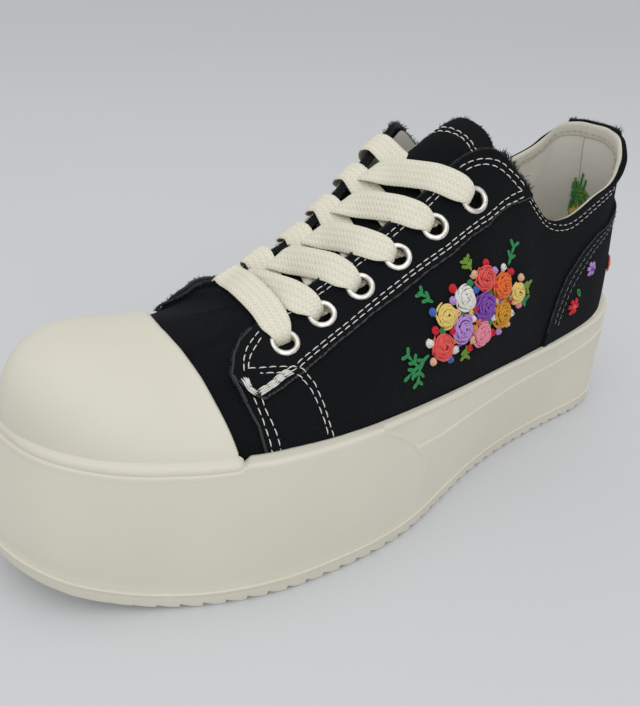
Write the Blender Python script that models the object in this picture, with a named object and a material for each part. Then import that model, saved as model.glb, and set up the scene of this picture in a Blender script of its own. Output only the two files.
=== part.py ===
"""Platform sneaker, left shoe: canvas upper with overlays on a thick rubber platform.

Tables are in millimetres. "s" is the distance from the heel towards the toe, x is positive on the
outer (lateral) side and z is up. shoe_point() turns (x, s, z) into the part's frame.
"""
import bmesh
import bpy
import numpy as np

MM = 0.001

# Overall sizes
HEEL_END = -3.5
TOE_END = 285.0
X_MIDDLE = 3.4
S_MIDDLE = (HEEL_END + TOE_END) / 2
GAP = 0.3

# Upper, overlays and insole
WALL = 1.4
QUARTER_STEP = 1.0
EYESTAY_THICK = 1.0
CAP_THICK = 1.7
CAP_SEAT = 0.8
COUNTER_THICK = 1.2
TAB_THICK = 1.0
TONGUE_THICK = 2.4
TONGUE_CLEAR = 0.8
TONGUE_REACH = (6.0, 12.0)
TONGUE_SKEW = 0.025
INSOLE_THICK = 4.0

# Sole
OUTSOLE_THICK = 7.0
TOOTH_PITCH = 7.0
TOOTH_DEPTH = 2.2
TOOTH_LAND = 3.6
TOE_SPRING = 15.0
SPRING_START = 226.0
HEEL_BEVEL = 5.0
BEVEL_START = 10.0
LIP_ROUND = 1.3
BUMPER_PROUD = 0.6
STRIP_SET_BACK = 1.0
WALL_BULGE = 1.2
RECESS_OUT = QUARTER_STEP + 0.5
BEAD_HEIGHT = 3.9
BEAD_THICK = 2.9

# Eyelets and lace
EYELET_OUTER = 5.4
EYELET_HOLE = 3.2
EYELET_BARREL = 3.7
EYELET_RISE = 2.1
EYELET_SEAT = 0.9
EYELET_CUT = 4.1
EYELET_SIDES = 12
HOLE_SIDES = 10
LACE_WIDTH = 8.4
LACE_THICK = 1.3
LACE_DROP = 0.44
LACE_START = 0.62
LACE_LIFT = 1.2
BAR_LIFT = 1.6
LACE_OVER = 1.8
LACE_LANDING = 1.5

# The upper, one row a line from the foot edge to the opening, heel to toe:
# foot edge, how far the wall rises and bulges, the opening edge, the reach of the surface there,
# and how much further out, forward and up the opening edge lies on the medial side
UPPER_COLUMNS = ("foot_s", "lateral", "medial", "rise", "bulge",
                 "edge_s", "edge_half", "edge_z", "reach_out", "reach_down", "medial_out", "medial_lag",
                 "medial_up")
UPPER_ROWS = [
    (3.0, 0.0, 0.0, 27.0, 2.5, 9.0, 0.0, 130.0, -2.5, 26.0, 0.0, 0.0, 0.0),
    (4.6, 11.5, -11.5, 27.0, 2.0, 9.2, 8.6, 129.6, -2.5, 26.0, 0.0, 0.0, 0.0),
    (8.8, 20.0, -19.6, 26.0, 2.0, 11.0, 16.2, 126.8, -3.0, 24.0, 0.0, 0.0, 0.6),
    (14.8, 25.2, -24.5, 26.0, 1.5, 13.4, 20.4, 119.5, -2.5, 20.0, 0.0, 0.0, 3.2),
    (24.0, 28.6, -27.6, 26.0, 1.0, 19.5, 22.8, 113.0, 0.0, 20.0, 0.0, 0.0, 4.0),
    (38.0, 31.2, -29.8, 26.0, 1.0, 34.5, 25.6, 109.3, 1.5, 20.0, 0.0, 0.0, 1.2),
    (56.0, 33.6, -30.6, 26.0, 1.0, 54.0, 27.5, 103.6, 2.5, 20.0, 0.0, 0.0, 0.0),
    (70.0, 35.3, -30.4, 26.0, 1.5, 67.5, 27.2, 106.0, 4.0, 21.0, 0.0, 1.0, 0.0),
    (82.0, 36.9, -30.4, 28.0, 2.0, 80.0, 25.0, 118.5, 8.0, 24.0, 4.0, 4.0, 0.0),
    (92.0, 38.5, -30.7, 30.0, 2.5, 90.5, 18.8, 130.5, 13.0, 26.0, 8.0, 8.0, 0.0),
    (103.0, 40.3, -31.4, 32.0, 3.5, 100.0, 14.6, 130.0, 17.5, 22.0, 8.0, 8.0, 0.0),
    (122.0, 43.6, -33.6, 34.0, 3.0, 121.0, 13.3, 116.0, 17.5, 14.0, 7.0, 5.0, 1.0),
    (150.0, 47.4, -38.2, 33.0, 3.0, 150.0, 13.5, 99.7, 17.0, 13.0, 3.0, 1.0, 0.0),
    (172.0, 49.6, -42.0, 27.0, 3.0, 172.0, 13.5, 89.0, 17.0, 11.0, 1.0, 0.0, 0.0),
    (188.0, 50.0, -43.6, 22.0, 3.0, 185.5, 12.5, 84.0, 17.0, 9.0, 0.0, 0.0, 0.0),
    (204.0, 48.4, -44.2, 19.0, 3.0, 191.5, 9.5, 85.2, 21.0, 7.4, 0.0, 0.0, 0.0),
    (222.0, 42.6, -42.2, 17.5, 3.4, 193.8, 6.2, 83.9, 24.5, 5.8, 0.0, 0.0, 0.0),
    (240.0, 34.0, -35.8, 22.5, 3.6, 194.8, 3.8, 83.6, 32.5, 5.8, 0.0, 0.0, 0.0),
    (255.0, 24.0, -27.2, 33.0, 4.0, 195.2, 2.2, 83.5, 41.0, 5.6, 0.0, 0.0, 0.0),
    (265.0, 11.5, -18.6, 45.0, 4.4, 195.5, 1.0, 83.6, 50.5, 5.2, 0.0, 0.0, 0.0),
    (270.8, -5.0, -5.0, 48.0, 4.6, 195.6, 0.0, 84.0, 54.5, 4.8, 0.0, 0.0, 0.0),
]
TOE_ROW = len(UPPER_ROWS) - 1
RING = 2 * TOE_ROW

# The sole, heel to toe: outline at the foot of the wall and at its top
SOLE_COLUMNS = ("low_s", "low_lateral", "low_medial", "top_s", "top_lateral", "top_medial")
SOLE_ROWS = [
    (-3.5, 0.0, 0.0, -3.5, 0.0, 0.0),
    (-2.3, 11.5, -11.5, -2.3, 11.8, -11.6),
    (1.8, 22.4, -21.8, 1.8, 22.8, -22.0),
    (9.0, 29.4, -28.4, 9.0, 29.8, -28.6),
    (20.0, 32.8, -31.8, 20.0, 33.6, -31.9),
    (38.0, 34.2, -33.2, 38.0, 36.4, -34.0),
    (60.0, 35.7, -33.6, 60.0, 39.2, -35.0),
    (82.0, 38.4, -33.0, 82.0, 41.4, -35.0),
    (104.0, 43.0, -33.4, 104.0, 45.3, -36.0),
    (126.0, 49.8, -36.6, 126.0, 49.4, -39.0),
    (146.0, 56.0, -41.6, 146.0, 52.3, -42.6),
    (166.0, 58.8, -46.4, 166.0, 54.6, -46.0),
    (186.0, 58.7, -49.8, 186.0, 55.2, -48.6),
    (204.0, 56.9, -51.2, 203.0, 53.9, -49.8),
    (222.0, 52.0, -50.4, 219.0, 48.8, -48.6),
    (240.0, 44.3, -46.0, 235.0, 42.0, -44.6),
    (256.0, 36.1, -39.2, 249.0, 35.0, -38.4),
    (268.0, 28.4, -31.6, 260.0, 26.6, -31.0),
    (277.0, 18.5, -23.0, 268.5, 16.5, -22.8),
    (283.0, 6.5, -15.5, 273.5, 5.0, -15.4),
    (285.0, -5.0, -5.0, 275.4, -6.0, -6.0),
]

# Heights along the shoe: (s, z)
RIM_HEIGHT = [(-3.5, 55.0), (4, 54.0), (10, 52.3), (18, 50.3), (30, 49.2), (50, 48.2), (75, 47.9),
              (100, 49.2), (125, 50.6), (150, 52.0), (175, 53.6), (200, 55.0), (211, 55.2), (217, 52.8),
              (228, 52.7), (240, 53.4), (252, 54.5), (262, 55.8), (270, 56.8), (285, 57.2)]
BED_HEIGHT = [(-3.5, 43.5), (40, 42.5), (75, 41.5), (120, 42.5), (200, 43.5), (240, 44.5), (285, 47.0)]
STEP_HEIGHT = [(-3.5, 44.0), (10, 42.0), (22, 40.0), (41, 37.5), (60, 37.0), (95, 35.5), (130, 35.5),
               (146, 37.5), (165, 40.0), (285, 44.0)]
# Rear end of the front bumper: (z, s)
BUMPER_END = [(0, 141.0), (14, 139.5), (27.7, 139.4), (37, 145.6), (44.3, 152.7), (49.5, 160.0), (54, 169.0)]
BUMPER_FADE = (12.0, 27.0)

# Grid of the upper: rows of its table, and shares of the way up the wall
REAR_COLUMNS = np.array([0, 0.5, 1, 1.6, 2.2, 3, 4, 5, 6, 7, 7.7, 8.4, 9, 9.6, 10.3, 11.2, 12, 13, 14, 14.6])
FRONT_COLUMNS = np.array([15.5, 16.1, 17, 18, 19, 19.5])
WALL_SHARES = np.array([0, 0.14, 0.3, 0.48, 0.64, 0.78, 0.9, 1.0])

# Front edge of the quarters: (share of the way up, row)
QUARTER_FRONT = [(0.0, 15.12), (0.2, 15.15), (0.4, 15.3), (0.55, 15.65), (0.65, 15.9),
                 (0.75, 15.6), (0.85, 15.05), (1.0, 14.55)]
# Lower edge of the eyestays and upper edge of the heel counter: (row, share of the way up)
EYESTAY_LOW = [(8.4, 0.93), (9.0, 0.84), (10.0, 0.72), (11.0, 0.65), (12.0, 0.62), (13.0, 0.60), (16.0, 0.58)]
COUNTER_EDGE = [(0.0, 0.67), (4.0, 0.67), (4.63, 0.66), (5.28, 0.61), (5.78, 0.52), (6.03, 0.42), (6.26, 0.28),
                (6.4, 0.2)]
TAB_SPAN = (0.70, 1.0)
# Rear edge of the toe cap: (distance from the middle line, s)
CAP_EDGE = [(0, 222.5), (14, 219.0), (25, 217.0), (33, 216.0), (40, 214.8), (47, 213.6)]
CAP_END_ROW = 15.62
# Eyelet centres, lowest first: (s, half distance)
EYELETS = [(186.2, 25.2), (170.1, 23.5), (154.1, 23.2), (137.9, 22.7), (121.5, 22.4), (104.7, 23.4)]

BLACK = (0.012, 0.013, 0.015, 1)
CREAM = (0.66, 0.64, 0.55, 1)
METAL = (0.55, 0.54, 0.52, 1)


def shoe_point(x, s, z):
    """The part's frame, still in millimetres."""
    return np.stack(np.broadcast_arrays(x - X_MIDDLE, S_MIDDLE - s, z), -1).astype(float)


def s_of(points):
    return S_MIDDLE - points[..., 1]


def x_of(points):
    return points[..., 0] + X_MIDDLE


def along(table, value):
    return np.interp(value, [row[0] for row in table], [row[1] for row in table])


def smooth_step(value):
    value = np.clip(value, 0.0, 1.0)
    return value * value * (3 - 2 * value)


def ground_rise(s):
    """How far the underside lifts off the floor at toe and heel."""
    toe = np.clip((s - SPRING_START) / (TOE_END - SPRING_START), 0, 1) ** 2 * TOE_SPRING
    heel = np.clip((BEVEL_START - s) / (BEVEL_START - HEEL_END), 0, 1) ** 2 * HEEL_BEVEL
    return toe + heel


class Loop:
    """A smooth closed curve through rows of points; q counts rows."""

    def __init__(self, points, knots):
        self.points = points
        self.count = len(points)
        ahead = np.roll(points, -1, 0) - points
        step = np.linalg.norm(np.roll(knots, -1, 0) - knots, axis=1)[:, None]
        back_step = np.roll(step, 1, 0)
        slope = ahead / step
        back_slope = np.roll(slope, 1, 0)
        self.step = step
        self.slope = (slope * back_step + back_slope * step) / (step + back_step)

    def at(self, q):
        q = np.asarray(q, float) % self.count
        i = np.floor(q).astype(int) % self.count
        j = (i + 1) % self.count
        f = (q - np.floor(q))[..., None]
        h = self.step[i]
        return ((1 + 2 * f) * (1 - f) ** 2 * self.points[i] + f * (1 - f) ** 2 * h * self.slope[i]
                + f * f * (3 - 2 * f) * self.points[j] - f * f * (1 - f) * h * self.slope[j])


def closed_rows(lateral, medial):
    """Heel to toe along the lateral side, then back along the medial side."""
    return np.concatenate([lateral, medial[-2:0:-1]])


def read_table(rows, names):
    values = np.array(rows, float).T
    return dict(zip(names, values))


def sole_loops():
    t = read_table(SOLE_ROWS, SOLE_COLUMNS)
    low = closed_rows(shoe_point(t["low_lateral"], t["low_s"], 0), shoe_point(t["low_medial"], t["low_s"], 0))
    top = closed_rows(shoe_point(t["top_lateral"], t["top_s"], 0), shoe_point(t["top_medial"], t["top_s"], 0))
    return Loop(low, low), Loop(top, top)


def upper_loops():
    """Four guide curves of the upper: foot, wall, brow and opening edge."""
    t = read_table(UPPER_ROWS, UPPER_COLUMNS)
    bed = along(BED_HEIGHT, t["foot_s"]) + GAP
    foot = closed_rows(shoe_point(t["lateral"], t["foot_s"], bed), shoe_point(t["medial"], t["foot_s"], bed))
    half, edge_s, edge_z = t["edge_half"], t["edge_s"], t["edge_z"]
    medial_edge = shoe_point(-half - t["medial_out"], edge_s + t["medial_lag"], edge_z + t["medial_up"])
    edge = closed_rows(shoe_point(half, edge_s, edge_z), medial_edge)
    both = {name: np.concatenate([t[name], t[name][-2:0:-1]]) for name in UPPER_COLUMNS}
    tangent = np.roll(foot, -1, 0) - np.roll(foot, 1, 0)
    out = np.stack([-tangent[:, 1], tangent[:, 0], np.zeros(len(foot))], 1)
    out /= np.linalg.norm(out, axis=1)[:, None]
    wall = foot + out * both["bulge"][:, None]
    wall[:, 2] += both["rise"]
    away = foot - edge
    away[:, 2] = 0
    away /= np.linalg.norm(away, axis=1)[:, None]
    brow = edge + away * both["reach_out"][:, None]
    brow[:, 2] -= both["reach_down"]
    return [Loop(curve, foot) for curve in (foot, wall, brow, edge)]


LOW, TOP = sole_loops()
GUIDES = upper_loops()


def skin(q, t):
    """The canvas surface: q counts rows round the foot, t runs from foot edge to opening."""
    q, t = np.broadcast_arrays(np.asarray(q, float), np.asarray(t, float))
    a, b, c, d = (curve.at(q) for curve in GUIDES)
    t = t[..., None]
    return (1 - t) ** 3 * a + 3 * t * (1 - t) ** 2 * b + 3 * t * t * (1 - t) * c + t ** 3 * d


def skin_normal(q, t):
    q, t = np.broadcast_arrays(np.asarray(q, float), np.asarray(t, float))
    low, high = np.clip(t - 0.01, 0, 1), np.clip(t + 0.01, 0, 1)
    up = skin(q, high) - skin(q, low)
    forward = skin(q + 0.02, t) - skin(q - 0.02, t)
    normal = np.cross(up, forward)
    return normal / np.linalg.norm(normal, axis=-1)[..., None]


def shell(q, t, offset):
    return skin(q, t) + skin_normal(q, t) * np.asarray(offset, float)[..., None]


def share_at_height(q, z):
    """How far up the wall its height first reaches z."""
    low, high = np.zeros_like(q), np.full_like(q, 0.5)
    for _ in range(30):
        middle = (low + high) / 2
        below = skin(q, middle)[..., 2] < z
        low, high = np.where(below, middle, low), np.where(below, high, middle)
    return (low + high) / 2


def find_on_skin(s, x, q, t):
    """Row and share of the point of the skin at (s, x), from a first guess."""
    for _ in range(15):
        here = skin(q, t)
        by_q = (skin(q + 0.01, t) - here) / 0.01
        by_t = (skin(q, t + 0.005) - here) / 0.005
        matrix = np.array([[-by_q[1], -by_t[1]], [by_q[0], by_t[0]]])
        change = np.linalg.solve(matrix, [s - s_of(here), x - x_of(here)])
        q, t = q + change[0], t + change[1]
    return q, t


def mirror(q):
    """The same row on the other side."""
    return RING - q


def add_solid(name, points, faces, colour):
    mesh = bpy.data.meshes.new(name)
    mesh.from_pydata([tuple(p) for p in np.asarray(points) * MM], [], faces)
    work = bmesh.new()
    work.from_mesh(mesh)
    bmesh.ops.recalc_face_normals(work, faces=work.faces)
    bmesh.ops.triangulate(work, faces=work.faces)
    work.to_mesh(mesh)
    work.free()
    body = bpy.data.objects.new(name, mesh)
    bpy.context.scene.collection.objects.link(body)
    material = bpy.data.materials.new(name)
    material.use_nodes = True
    material.node_tree.nodes["Principled BSDF"].inputs["Base Color"].default_value = colour
    mesh.materials.append(material)
    return body


def strip_faces(a, b, closed):
    """Quads between two rows of point numbers."""
    last = len(a) if closed else len(a) - 1
    return [(a[i], a[(i + 1) % len(a)], b[(i + 1) % len(b)], b[i]) for i in range(last)]


def between_layers(name, outer, inner, closed, colour):
    """A solid between two grids of points (columns, rows); closed joins the last column to the first."""
    columns, rows = outer.shape[:2]
    points = np.concatenate([outer.reshape(-1, 3), inner.reshape(-1, 3)])
    number = np.arange(2 * columns * rows).reshape(2, columns, rows)
    faces = []
    for i in range(rows - 1):
        faces += strip_faces(number[0, :, i], number[0, :, i + 1], closed)
        faces += strip_faces(number[1, :, i + 1], number[1, :, i], closed)
    faces += strip_faces(number[1, :, 0], number[0, :, 0], closed)
    faces += strip_faces(number[0, :, -1], number[1, :, -1], closed)
    if not closed:
        faces += strip_faces(number[0, 0], number[1, 0], False)
        faces += strip_faces(number[1, -1], number[0, -1], False)
    return add_solid(name, points, faces, colour)


def ring_stack(name, rings, colour):
    """A solid from closed rings; the first and last are closed by bars across the shoe."""
    count = len(rings[0])
    points = np.concatenate(rings)
    faces = []
    for level in range(len(rings) - 1):
        low = np.arange(count) + level * count
        faces += strip_faces(low, low + count, True)
    half = count // 2
    for level in (0, len(rings) - 1):
        start = level * count
        faces.append((start, start + 1, start + count - 1))
        for i in range(1, half - 1):
            faces.append((start + i, start + i + 1, start + count - i - 1, start + count - i))
        faces.append((start + half - 1, start + half, start + half + 1))
    return add_solid(name, points, faces, colour)


def bent(side, t):
    """Row of a column at share t: columns near the quarter's front edge bend to follow it."""
    start = QUARTER_FRONT[0][1]
    behind = smooth_step((side - 9) / (start - 9))
    ahead = smooth_step((TOE_ROW - side) / (TOE_ROW - start))
    return side + np.where(side <= start, behind, ahead) * (along(QUARTER_FRONT, t) - start)


def upper_rows(shares):
    """Rows round the foot for each column and share, and how proud each column stands."""
    start = QUARTER_FRONT[0][1]
    side = np.concatenate([REAR_COLUMNS, [start, start + 0.03], FRONT_COLUMNS])
    q = bent(side[:, None], shares[None, :])
    tip = np.full((1, len(shares)), float(TOE_ROW))
    q = np.concatenate([q, tip, mirror(q)[:0:-1]])
    step = np.where(side <= start, QUARTER_STEP, 0.0)
    return q, np.concatenate([step, [0.0], step[:0:-1]])


def make_upper():
    q, step = upper_rows(WALL_SHARES)
    share = np.broadcast_to(WALL_SHARES, q.shape)
    outer = shell(q, share, np.broadcast_to(step[:, None], q.shape))
    inner = shell(q, share, np.full(q.shape, -WALL))
    return between_layers("upper", outer, inner, True, BLACK)


def overlay(name, side, low, high, shares, thick, medial):
    """A panel on the quarter between two shares of each column, with the upper's own rows inside."""
    count = len(shares)
    space = 0.012
    t = [low]
    for j, share in enumerate(shares):
        t.append(np.clip(share, low + space * (j + 1), high - space * (count - j)))
    t = np.stack(t + [high], 1)
    q = bent(np.abs(side)[:, None], t) * np.where(side < 0, -1, 1)[:, None]
    if medial:
        q = mirror(q)
    base = np.full(q.shape, QUARTER_STEP + GAP)
    return between_layers(name, shell(q, t, base + thick), shell(q, t, base), False, BLACK)


def make_eyestay(name, medial):
    side = REAR_COLUMNS[REAR_COLUMNS > 8]
    side = np.concatenate([side, [QUARTER_FRONT[0][1] - 0.06]])
    low = along(EYESTAY_LOW, side)
    return overlay(name, side, low, np.ones(len(side)), WALL_SHARES[4:7], EYESTAY_THICK, medial)


def make_counter():
    half = np.concatenate([REAR_COLUMNS[REAR_COLUMNS < 5.5], [5.6, 6.0, 6.4]])
    side = np.concatenate([-half[:0:-1], half])
    low = share_at_height(side, lip_height(side) + GAP)
    high = along(COUNTER_EDGE, np.abs(side))
    return overlay("heel_counter", side, low, high, WALL_SHARES[1:4], COUNTER_THICK, False)


def make_tab():
    side = np.array([-1.6, -1.0, -0.5, 0.0, 0.5, 1.0, 1.6])
    low, high = np.full(7, TAB_SPAN[0]), np.full(7, TAB_SPAN[1])
    return overlay("heel_tab", side, low, high, WALL_SHARES[5:7], TAB_THICK, False)


def lip_height(q):
    """Height of the midsole's top beside a row of the upper."""
    return along(RIM_HEIGHT, s_of(TOP.at(sole_row(q))))


def sole_row(q):
    """The row of the sole's outline that faces a row of the upper."""
    q = np.asarray(q, float) % RING
    side = np.where(q > TOE_ROW, RING - q, q)
    dense = np.linspace(0, TOE_ROW, 400)
    foot_s = np.maximum.accumulate(s_of(GUIDES[0].at(dense)))
    top_s = np.maximum.accumulate(s_of(TOP.at(dense)))
    share = (np.interp(side, dense, foot_s) - foot_s[0]) / (foot_s[-1] - foot_s[0])
    row = np.interp(top_s[0] + share * (top_s[-1] - top_s[0]), top_s, dense)
    return np.where(q > TOE_ROW, RING - row, row)


def cap_share(q):
    """How far up the wall the rear edge of the toe cap crosses each row."""
    low, high = np.zeros_like(q), np.ones_like(q)
    for _ in range(30):
        middle = (low + high) / 2
        here = skin(q, middle)
        ahead = s_of(here) > along(CAP_EDGE, np.abs(x_of(here)))
        low, high = np.where(ahead, middle, low), np.where(ahead, high, middle)
    return (low + high) / 2


def make_cap():
    q = np.linspace(CAP_END_ROW, RING - CAP_END_ROW, 23)
    base = share_at_height(q, lip_height(q) + GAP)
    top = np.maximum(cap_share(q), base + 0.05)
    v = np.linspace(0, 1, 7)[None, :]
    t = base[:, None] + v * (top - base)[:, None]
    q = np.broadcast_to(q[:, None], t.shape)
    low = np.full(t.shape, CAP_SEAT)
    return between_layers("toe_cap", shell(q, t, low + CAP_THICK), shell(q, t, low), False, CREAM)


def make_bead():
    """A rounded welt that stands on the midsole and leans on the cap."""
    q = np.linspace(CAP_END_ROW - 0.08, RING - CAP_END_ROW + 0.08, 25)
    floor = lip_height(q) + 2 * GAP
    profile = np.array([(0, 0), (0.9, 0), (1.0, 0.35), (0.92, 0.7), (0.62, 0.95), (0.3, 1.0), (0.0, 0.86)])
    rings = []
    for out, up in profile:
        share = share_at_height(q, floor + up * BEAD_HEIGHT)
        side = skin_normal(q, share)
        side[:, 2] = 0
        side /= np.linalg.norm(side, axis=1)[:, None]
        point = skin(q, share) + side * (CAP_SEAT + CAP_THICK + GAP + 0.2 + out * BEAD_THICK)
        point[:, 2] = floor + up * BEAD_HEIGHT
        rings.append(point)
    count = len(profile)
    points = np.stack(rings, 1).reshape(-1, 3)
    faces = []
    for i in range(len(q) - 1):
        row = np.arange(count) + i * count
        faces += strip_faces(row, row + count, True)
    faces.append(tuple(range(count)))
    faces.append(tuple(range((len(q) - 1) * count, len(q) * count)))
    return add_solid("toe_bead", points, faces, CREAM)


def wall_point(row, z_share, z):
    """The sole's outer wall: between its two outlines, with bumper, strip and bulge."""
    low, top = LOW.at(row), TOP.at(row)
    point = low + (top - low) * z_share[:, None]
    tangent = TOP.at(row + 0.05) - TOP.at(row - 0.05)
    out = np.stack([-tangent[:, 1], tangent[:, 0], np.zeros(len(row))], 1)
    out /= np.linalg.norm(out, axis=1)[:, None]
    s = s_of(point)
    ahead = smooth_step((s - along(BUMPER_END, z)) / 1.0 + 0.5)
    fade = smooth_step((z - BUMPER_FADE[0]) / (BUMPER_FADE[1] - BUMPER_FADE[0]))
    strip = (z > along(STEP_HEIGHT, s)) * (1 - ahead)
    move = BUMPER_PROUD * fade * (2 * ahead - 1) - STRIP_SET_BACK * strip
    move = move + WALL_BULGE * np.sin(np.pi * z_share) * smooth_step((s - 120) / 60)
    point = point + out * (move * smooth_step(z_share / 0.15))[:, None]
    point[:, 2] = z
    return point


def bent_rows(row, z_share, z):
    """Rows near the bumper's end are moved so that one pair of columns follows it."""
    side = np.where(row > TOE_ROW, RING - row, row)
    dense = np.linspace(0, TOE_ROW, 400)
    moved = row.copy()
    reference = BUMPER_END[2][1]
    for i in range(len(row)):
        lateral = row[i] <= TOE_ROW
        track = dense if lateral else RING - dense
        s_track = (1 - z_share[i]) * s_of(LOW.at(track)) + z_share[i] * s_of(TOP.at(track))
        s_track = np.maximum.accumulate(s_track)
        s_here = np.interp(side[i], dense, s_of(TOP.at(track)))
        distance = s_here - reference
        if abs(distance) > 40:
            continue
        weight = 1 - smooth_step((abs(distance) - 1) / 39)
        target = s_here + weight * (along(BUMPER_END, z[i]) - reference)
        new_side = np.interp(target, s_track, dense)
        moved[i] = new_side if lateral else RING - new_side
    return moved


def sole_columns():
    """Rows of the upper that the midsole's columns face, with a pair at the bumper's end."""
    side = np.array([0, 0.5, 1, 1.5, 2, 2.6, 3.3, 4.1, 5, 6, 7, 8, 9, 10, 10.6])
    dense = np.linspace(0, TOE_ROW, 800)
    arc_s = BUMPER_END[2][1]
    facing = s_of(TOP.at(sole_row(dense)))
    pair = np.interp([arc_s - 0.8, arc_s + 0.8], facing, dense)
    ahead = np.array([12.3, 12.9, 13.6, 14.3, 14.8, 15.2, 15.5, 15.8, 16.2, 16.8, 17.4, 18, 18.6, 19.2, 19.6])
    side = np.concatenate([side, pair, ahead])
    return np.concatenate([side, [float(TOE_ROW)], mirror(side)[:0:-1]])


def make_midsole():
    q = sole_columns()
    row = sole_row(q)
    s_low, s_top = s_of(LOW.at(row)), s_of(TOP.at(row))
    z_low = OUTSOLE_THICK + GAP + ground_rise(s_low)
    z_top = along(RIM_HEIGHT, s_top)
    z_step = along(STEP_HEIGHT, s_top)
    levels = [z_low, z_low + 0.25 * (z_step - z_low), z_low + 0.55 * (z_step - z_low),
              z_low + 0.8 * (z_step - z_low), z_step - 0.4, z_step + 0.4,
              (z_step + z_top) / 2, z_top - LIP_ROUND]
    rings = []
    for z in levels:
        z_share = (z - z_low) / (z_top - z_low)
        rings.append(wall_point(bent_rows(row, z_share, z), z_share, z))
    rings.append(rings[-1].copy())
    inside = shell(q, share_at_height(q, z_top), np.full(len(q), RECESS_OUT))
    towards = inside - rings[-1]
    towards[:, 2] = 0
    towards /= np.linalg.norm(towards, axis=1)[:, None]
    rings[-1] += towards * LIP_ROUND
    rings[-1][:, 2] = z_top
    inside[:, 2] = z_top
    rings.append(inside)
    bed = along(BED_HEIGHT, s_of(GUIDES[0].at(q)))
    for height in ((bed + z_top) / 2, bed):
        ring = shell(q, share_at_height(q, height), np.full(len(q), RECESS_OUT))
        ring[:, 2] = height
        rings.append(ring)
    return ring_stack("midsole", rings, CREAM)


def make_outsole():
    first = int(np.ceil((HEEL_END + 4) / TOOTH_PITCH))
    last = int(np.floor((TOE_END - 4) / TOOTH_PITCH))
    stations = []
    for k in range(first, last):
        start = k * TOOTH_PITCH
        stations += [(start, 0.0), (start + TOOTH_LAND, 0.0), (start + TOOTH_PITCH - 0.4, TOOTH_DEPTH)]
    stations.append((last * TOOTH_PITCH, 0.0))
    heel = [(HEEL_END + step, 0.0) for step in (0.15, 0.6, 1.5, 2.8, 4.8, 7.5)]
    toe = [(TOE_END - step, 0.0) for step in (2.6, 1.4, 0.6, 0.15)]
    heel = [p for p in heel if p[0] < stations[0][0] - 0.3]
    toe = [p for p in toe if p[0] > stations[-1][0] + 0.3]
    stations = heel + stations + toe
    s = np.array([p[0] for p in stations])
    depth = np.array([p[1] for p in stations])
    dense = np.linspace(0, TOE_ROW, 1500)
    lateral, medial = LOW.at(dense), LOW.at(mirror(dense))
    x_lateral = np.interp(s, s_of(lateral), x_of(lateral))
    x_medial = np.interp(s, s_of(medial), x_of(medial))
    rise = ground_rise(s)
    corners = [(x_lateral, rise + depth), (x_lateral, rise + OUTSOLE_THICK), (x_medial, rise + OUTSOLE_THICK),
               (x_medial, rise + depth)]
    points = np.stack([shoe_point(x, s, z) for x, z in corners], 1).reshape(-1, 3)
    faces = []
    for i in range(len(s) - 1):
        row = np.arange(4) + 4 * i
        faces += strip_faces(row, row + 4, True)
    faces.append((0, 1, 2, 3))
    end = 4 * (len(s) - 1)
    faces.append((end, end + 1, end + 2, end + 3))
    return add_solid("outsole", points, faces, CREAM)


def make_insole():
    q = upper_rows(np.zeros(1))[0][:, 0]
    inside = np.full(len(q), -WALL - 2 * GAP)
    low = shell(q, np.zeros(len(q)), inside)
    low[:, 2] = along(BED_HEIGHT, s_of(GUIDES[0].at(q))) + GAP
    high = shell(q, share_at_height(q, low[:, 2] + INSOLE_THICK), inside)
    high[:, 2] = low[:, 2] + INSOLE_THICK
    return ring_stack("insole", [low, high], CREAM)


def crown(a, a_lead, b, b_lead, count):
    """A rounded bridge between two edges; the leads point past each edge."""
    reach = 0.30 * np.linalg.norm(b - a)
    t = np.linspace(0, 1, count + 2)[1:-1, None]
    c, d = a + a_lead * reach, b + b_lead * reach
    return (1 - t) ** 3 * a + 3 * t * (1 - t) ** 2 * c + 3 * t * t * (1 - t) * d + t ** 3 * b


def tongue_section(q, half):
    """Points across the tongue under a row of the throat, lateral to medial."""
    under = -WALL - TONGUE_CLEAR
    dense = np.linspace(0.4, 1, 60)
    rows = []
    for row in (q, mirror(q)):
        line = shell(np.full(60, row), dense, np.full(60, under))
        away = np.abs(x_of(line))
        if not rows:
            wing = half - away[-1]
        start = np.interp(-away[-1] - wing, -away, dense)
        share = np.linspace(start, 1.0, 4)
        rows.append(shell(np.full(4, row), share, np.full(4, under)))
    leads = [(r[-1] - r[-2]) / np.linalg.norm(r[-1] - r[-2]) for r in rows]
    bridge = crown(rows[0][-1], leads[0], rows[1][-1], leads[1], 3)
    return np.concatenate([rows[0], bridge, rows[1][::-1]])


def make_tongue():
    sections = [tongue_section(14.2, 26.0)]
    front = sections[0] + np.array([0, -11.0, -4.6])
    sections.insert(0, front)
    for q, half in ((13.4, 26.5), (12.6, 26.5), (11.8, 26.0), (11.0, 24.0), (10.4, 21.5), (10.0, 20.0)):
        sections.append(tongue_section(q, half))
    for reach in TONGUE_REACH:
        point = sections[7].copy()
        skew = 1 + TONGUE_SKEW * x_of(point)
        point += np.array([0, 0.92, 0.27]) * (reach * skew)[:, None]
        point[:, 0] *= 1 - 0.008 * reach
        sections.append(point)
    outer = np.stack(sections)
    lengthwise = np.gradient(outer, axis=0)
    across = np.gradient(outer, axis=1)
    normal = np.cross(across, lengthwise)
    normal /= np.linalg.norm(normal, axis=2)[..., None]
    normal *= np.sign(normal[..., 2:3].mean())
    return between_layers("tongue", outer, outer - normal * TONGUE_THICK, False, BLACK)


def eyelet_places(medial):
    """Row and share on the skin for each eyelet of a side, lowest first."""
    places = []
    guess = (13.8, 0.8)
    for s, half in EYELETS:
        q, t = find_on_skin(s, half, *guess)
        guess = (q - 0.6, t)
        places.append((mirror(q) if medial else q, t))
    return places


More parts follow.
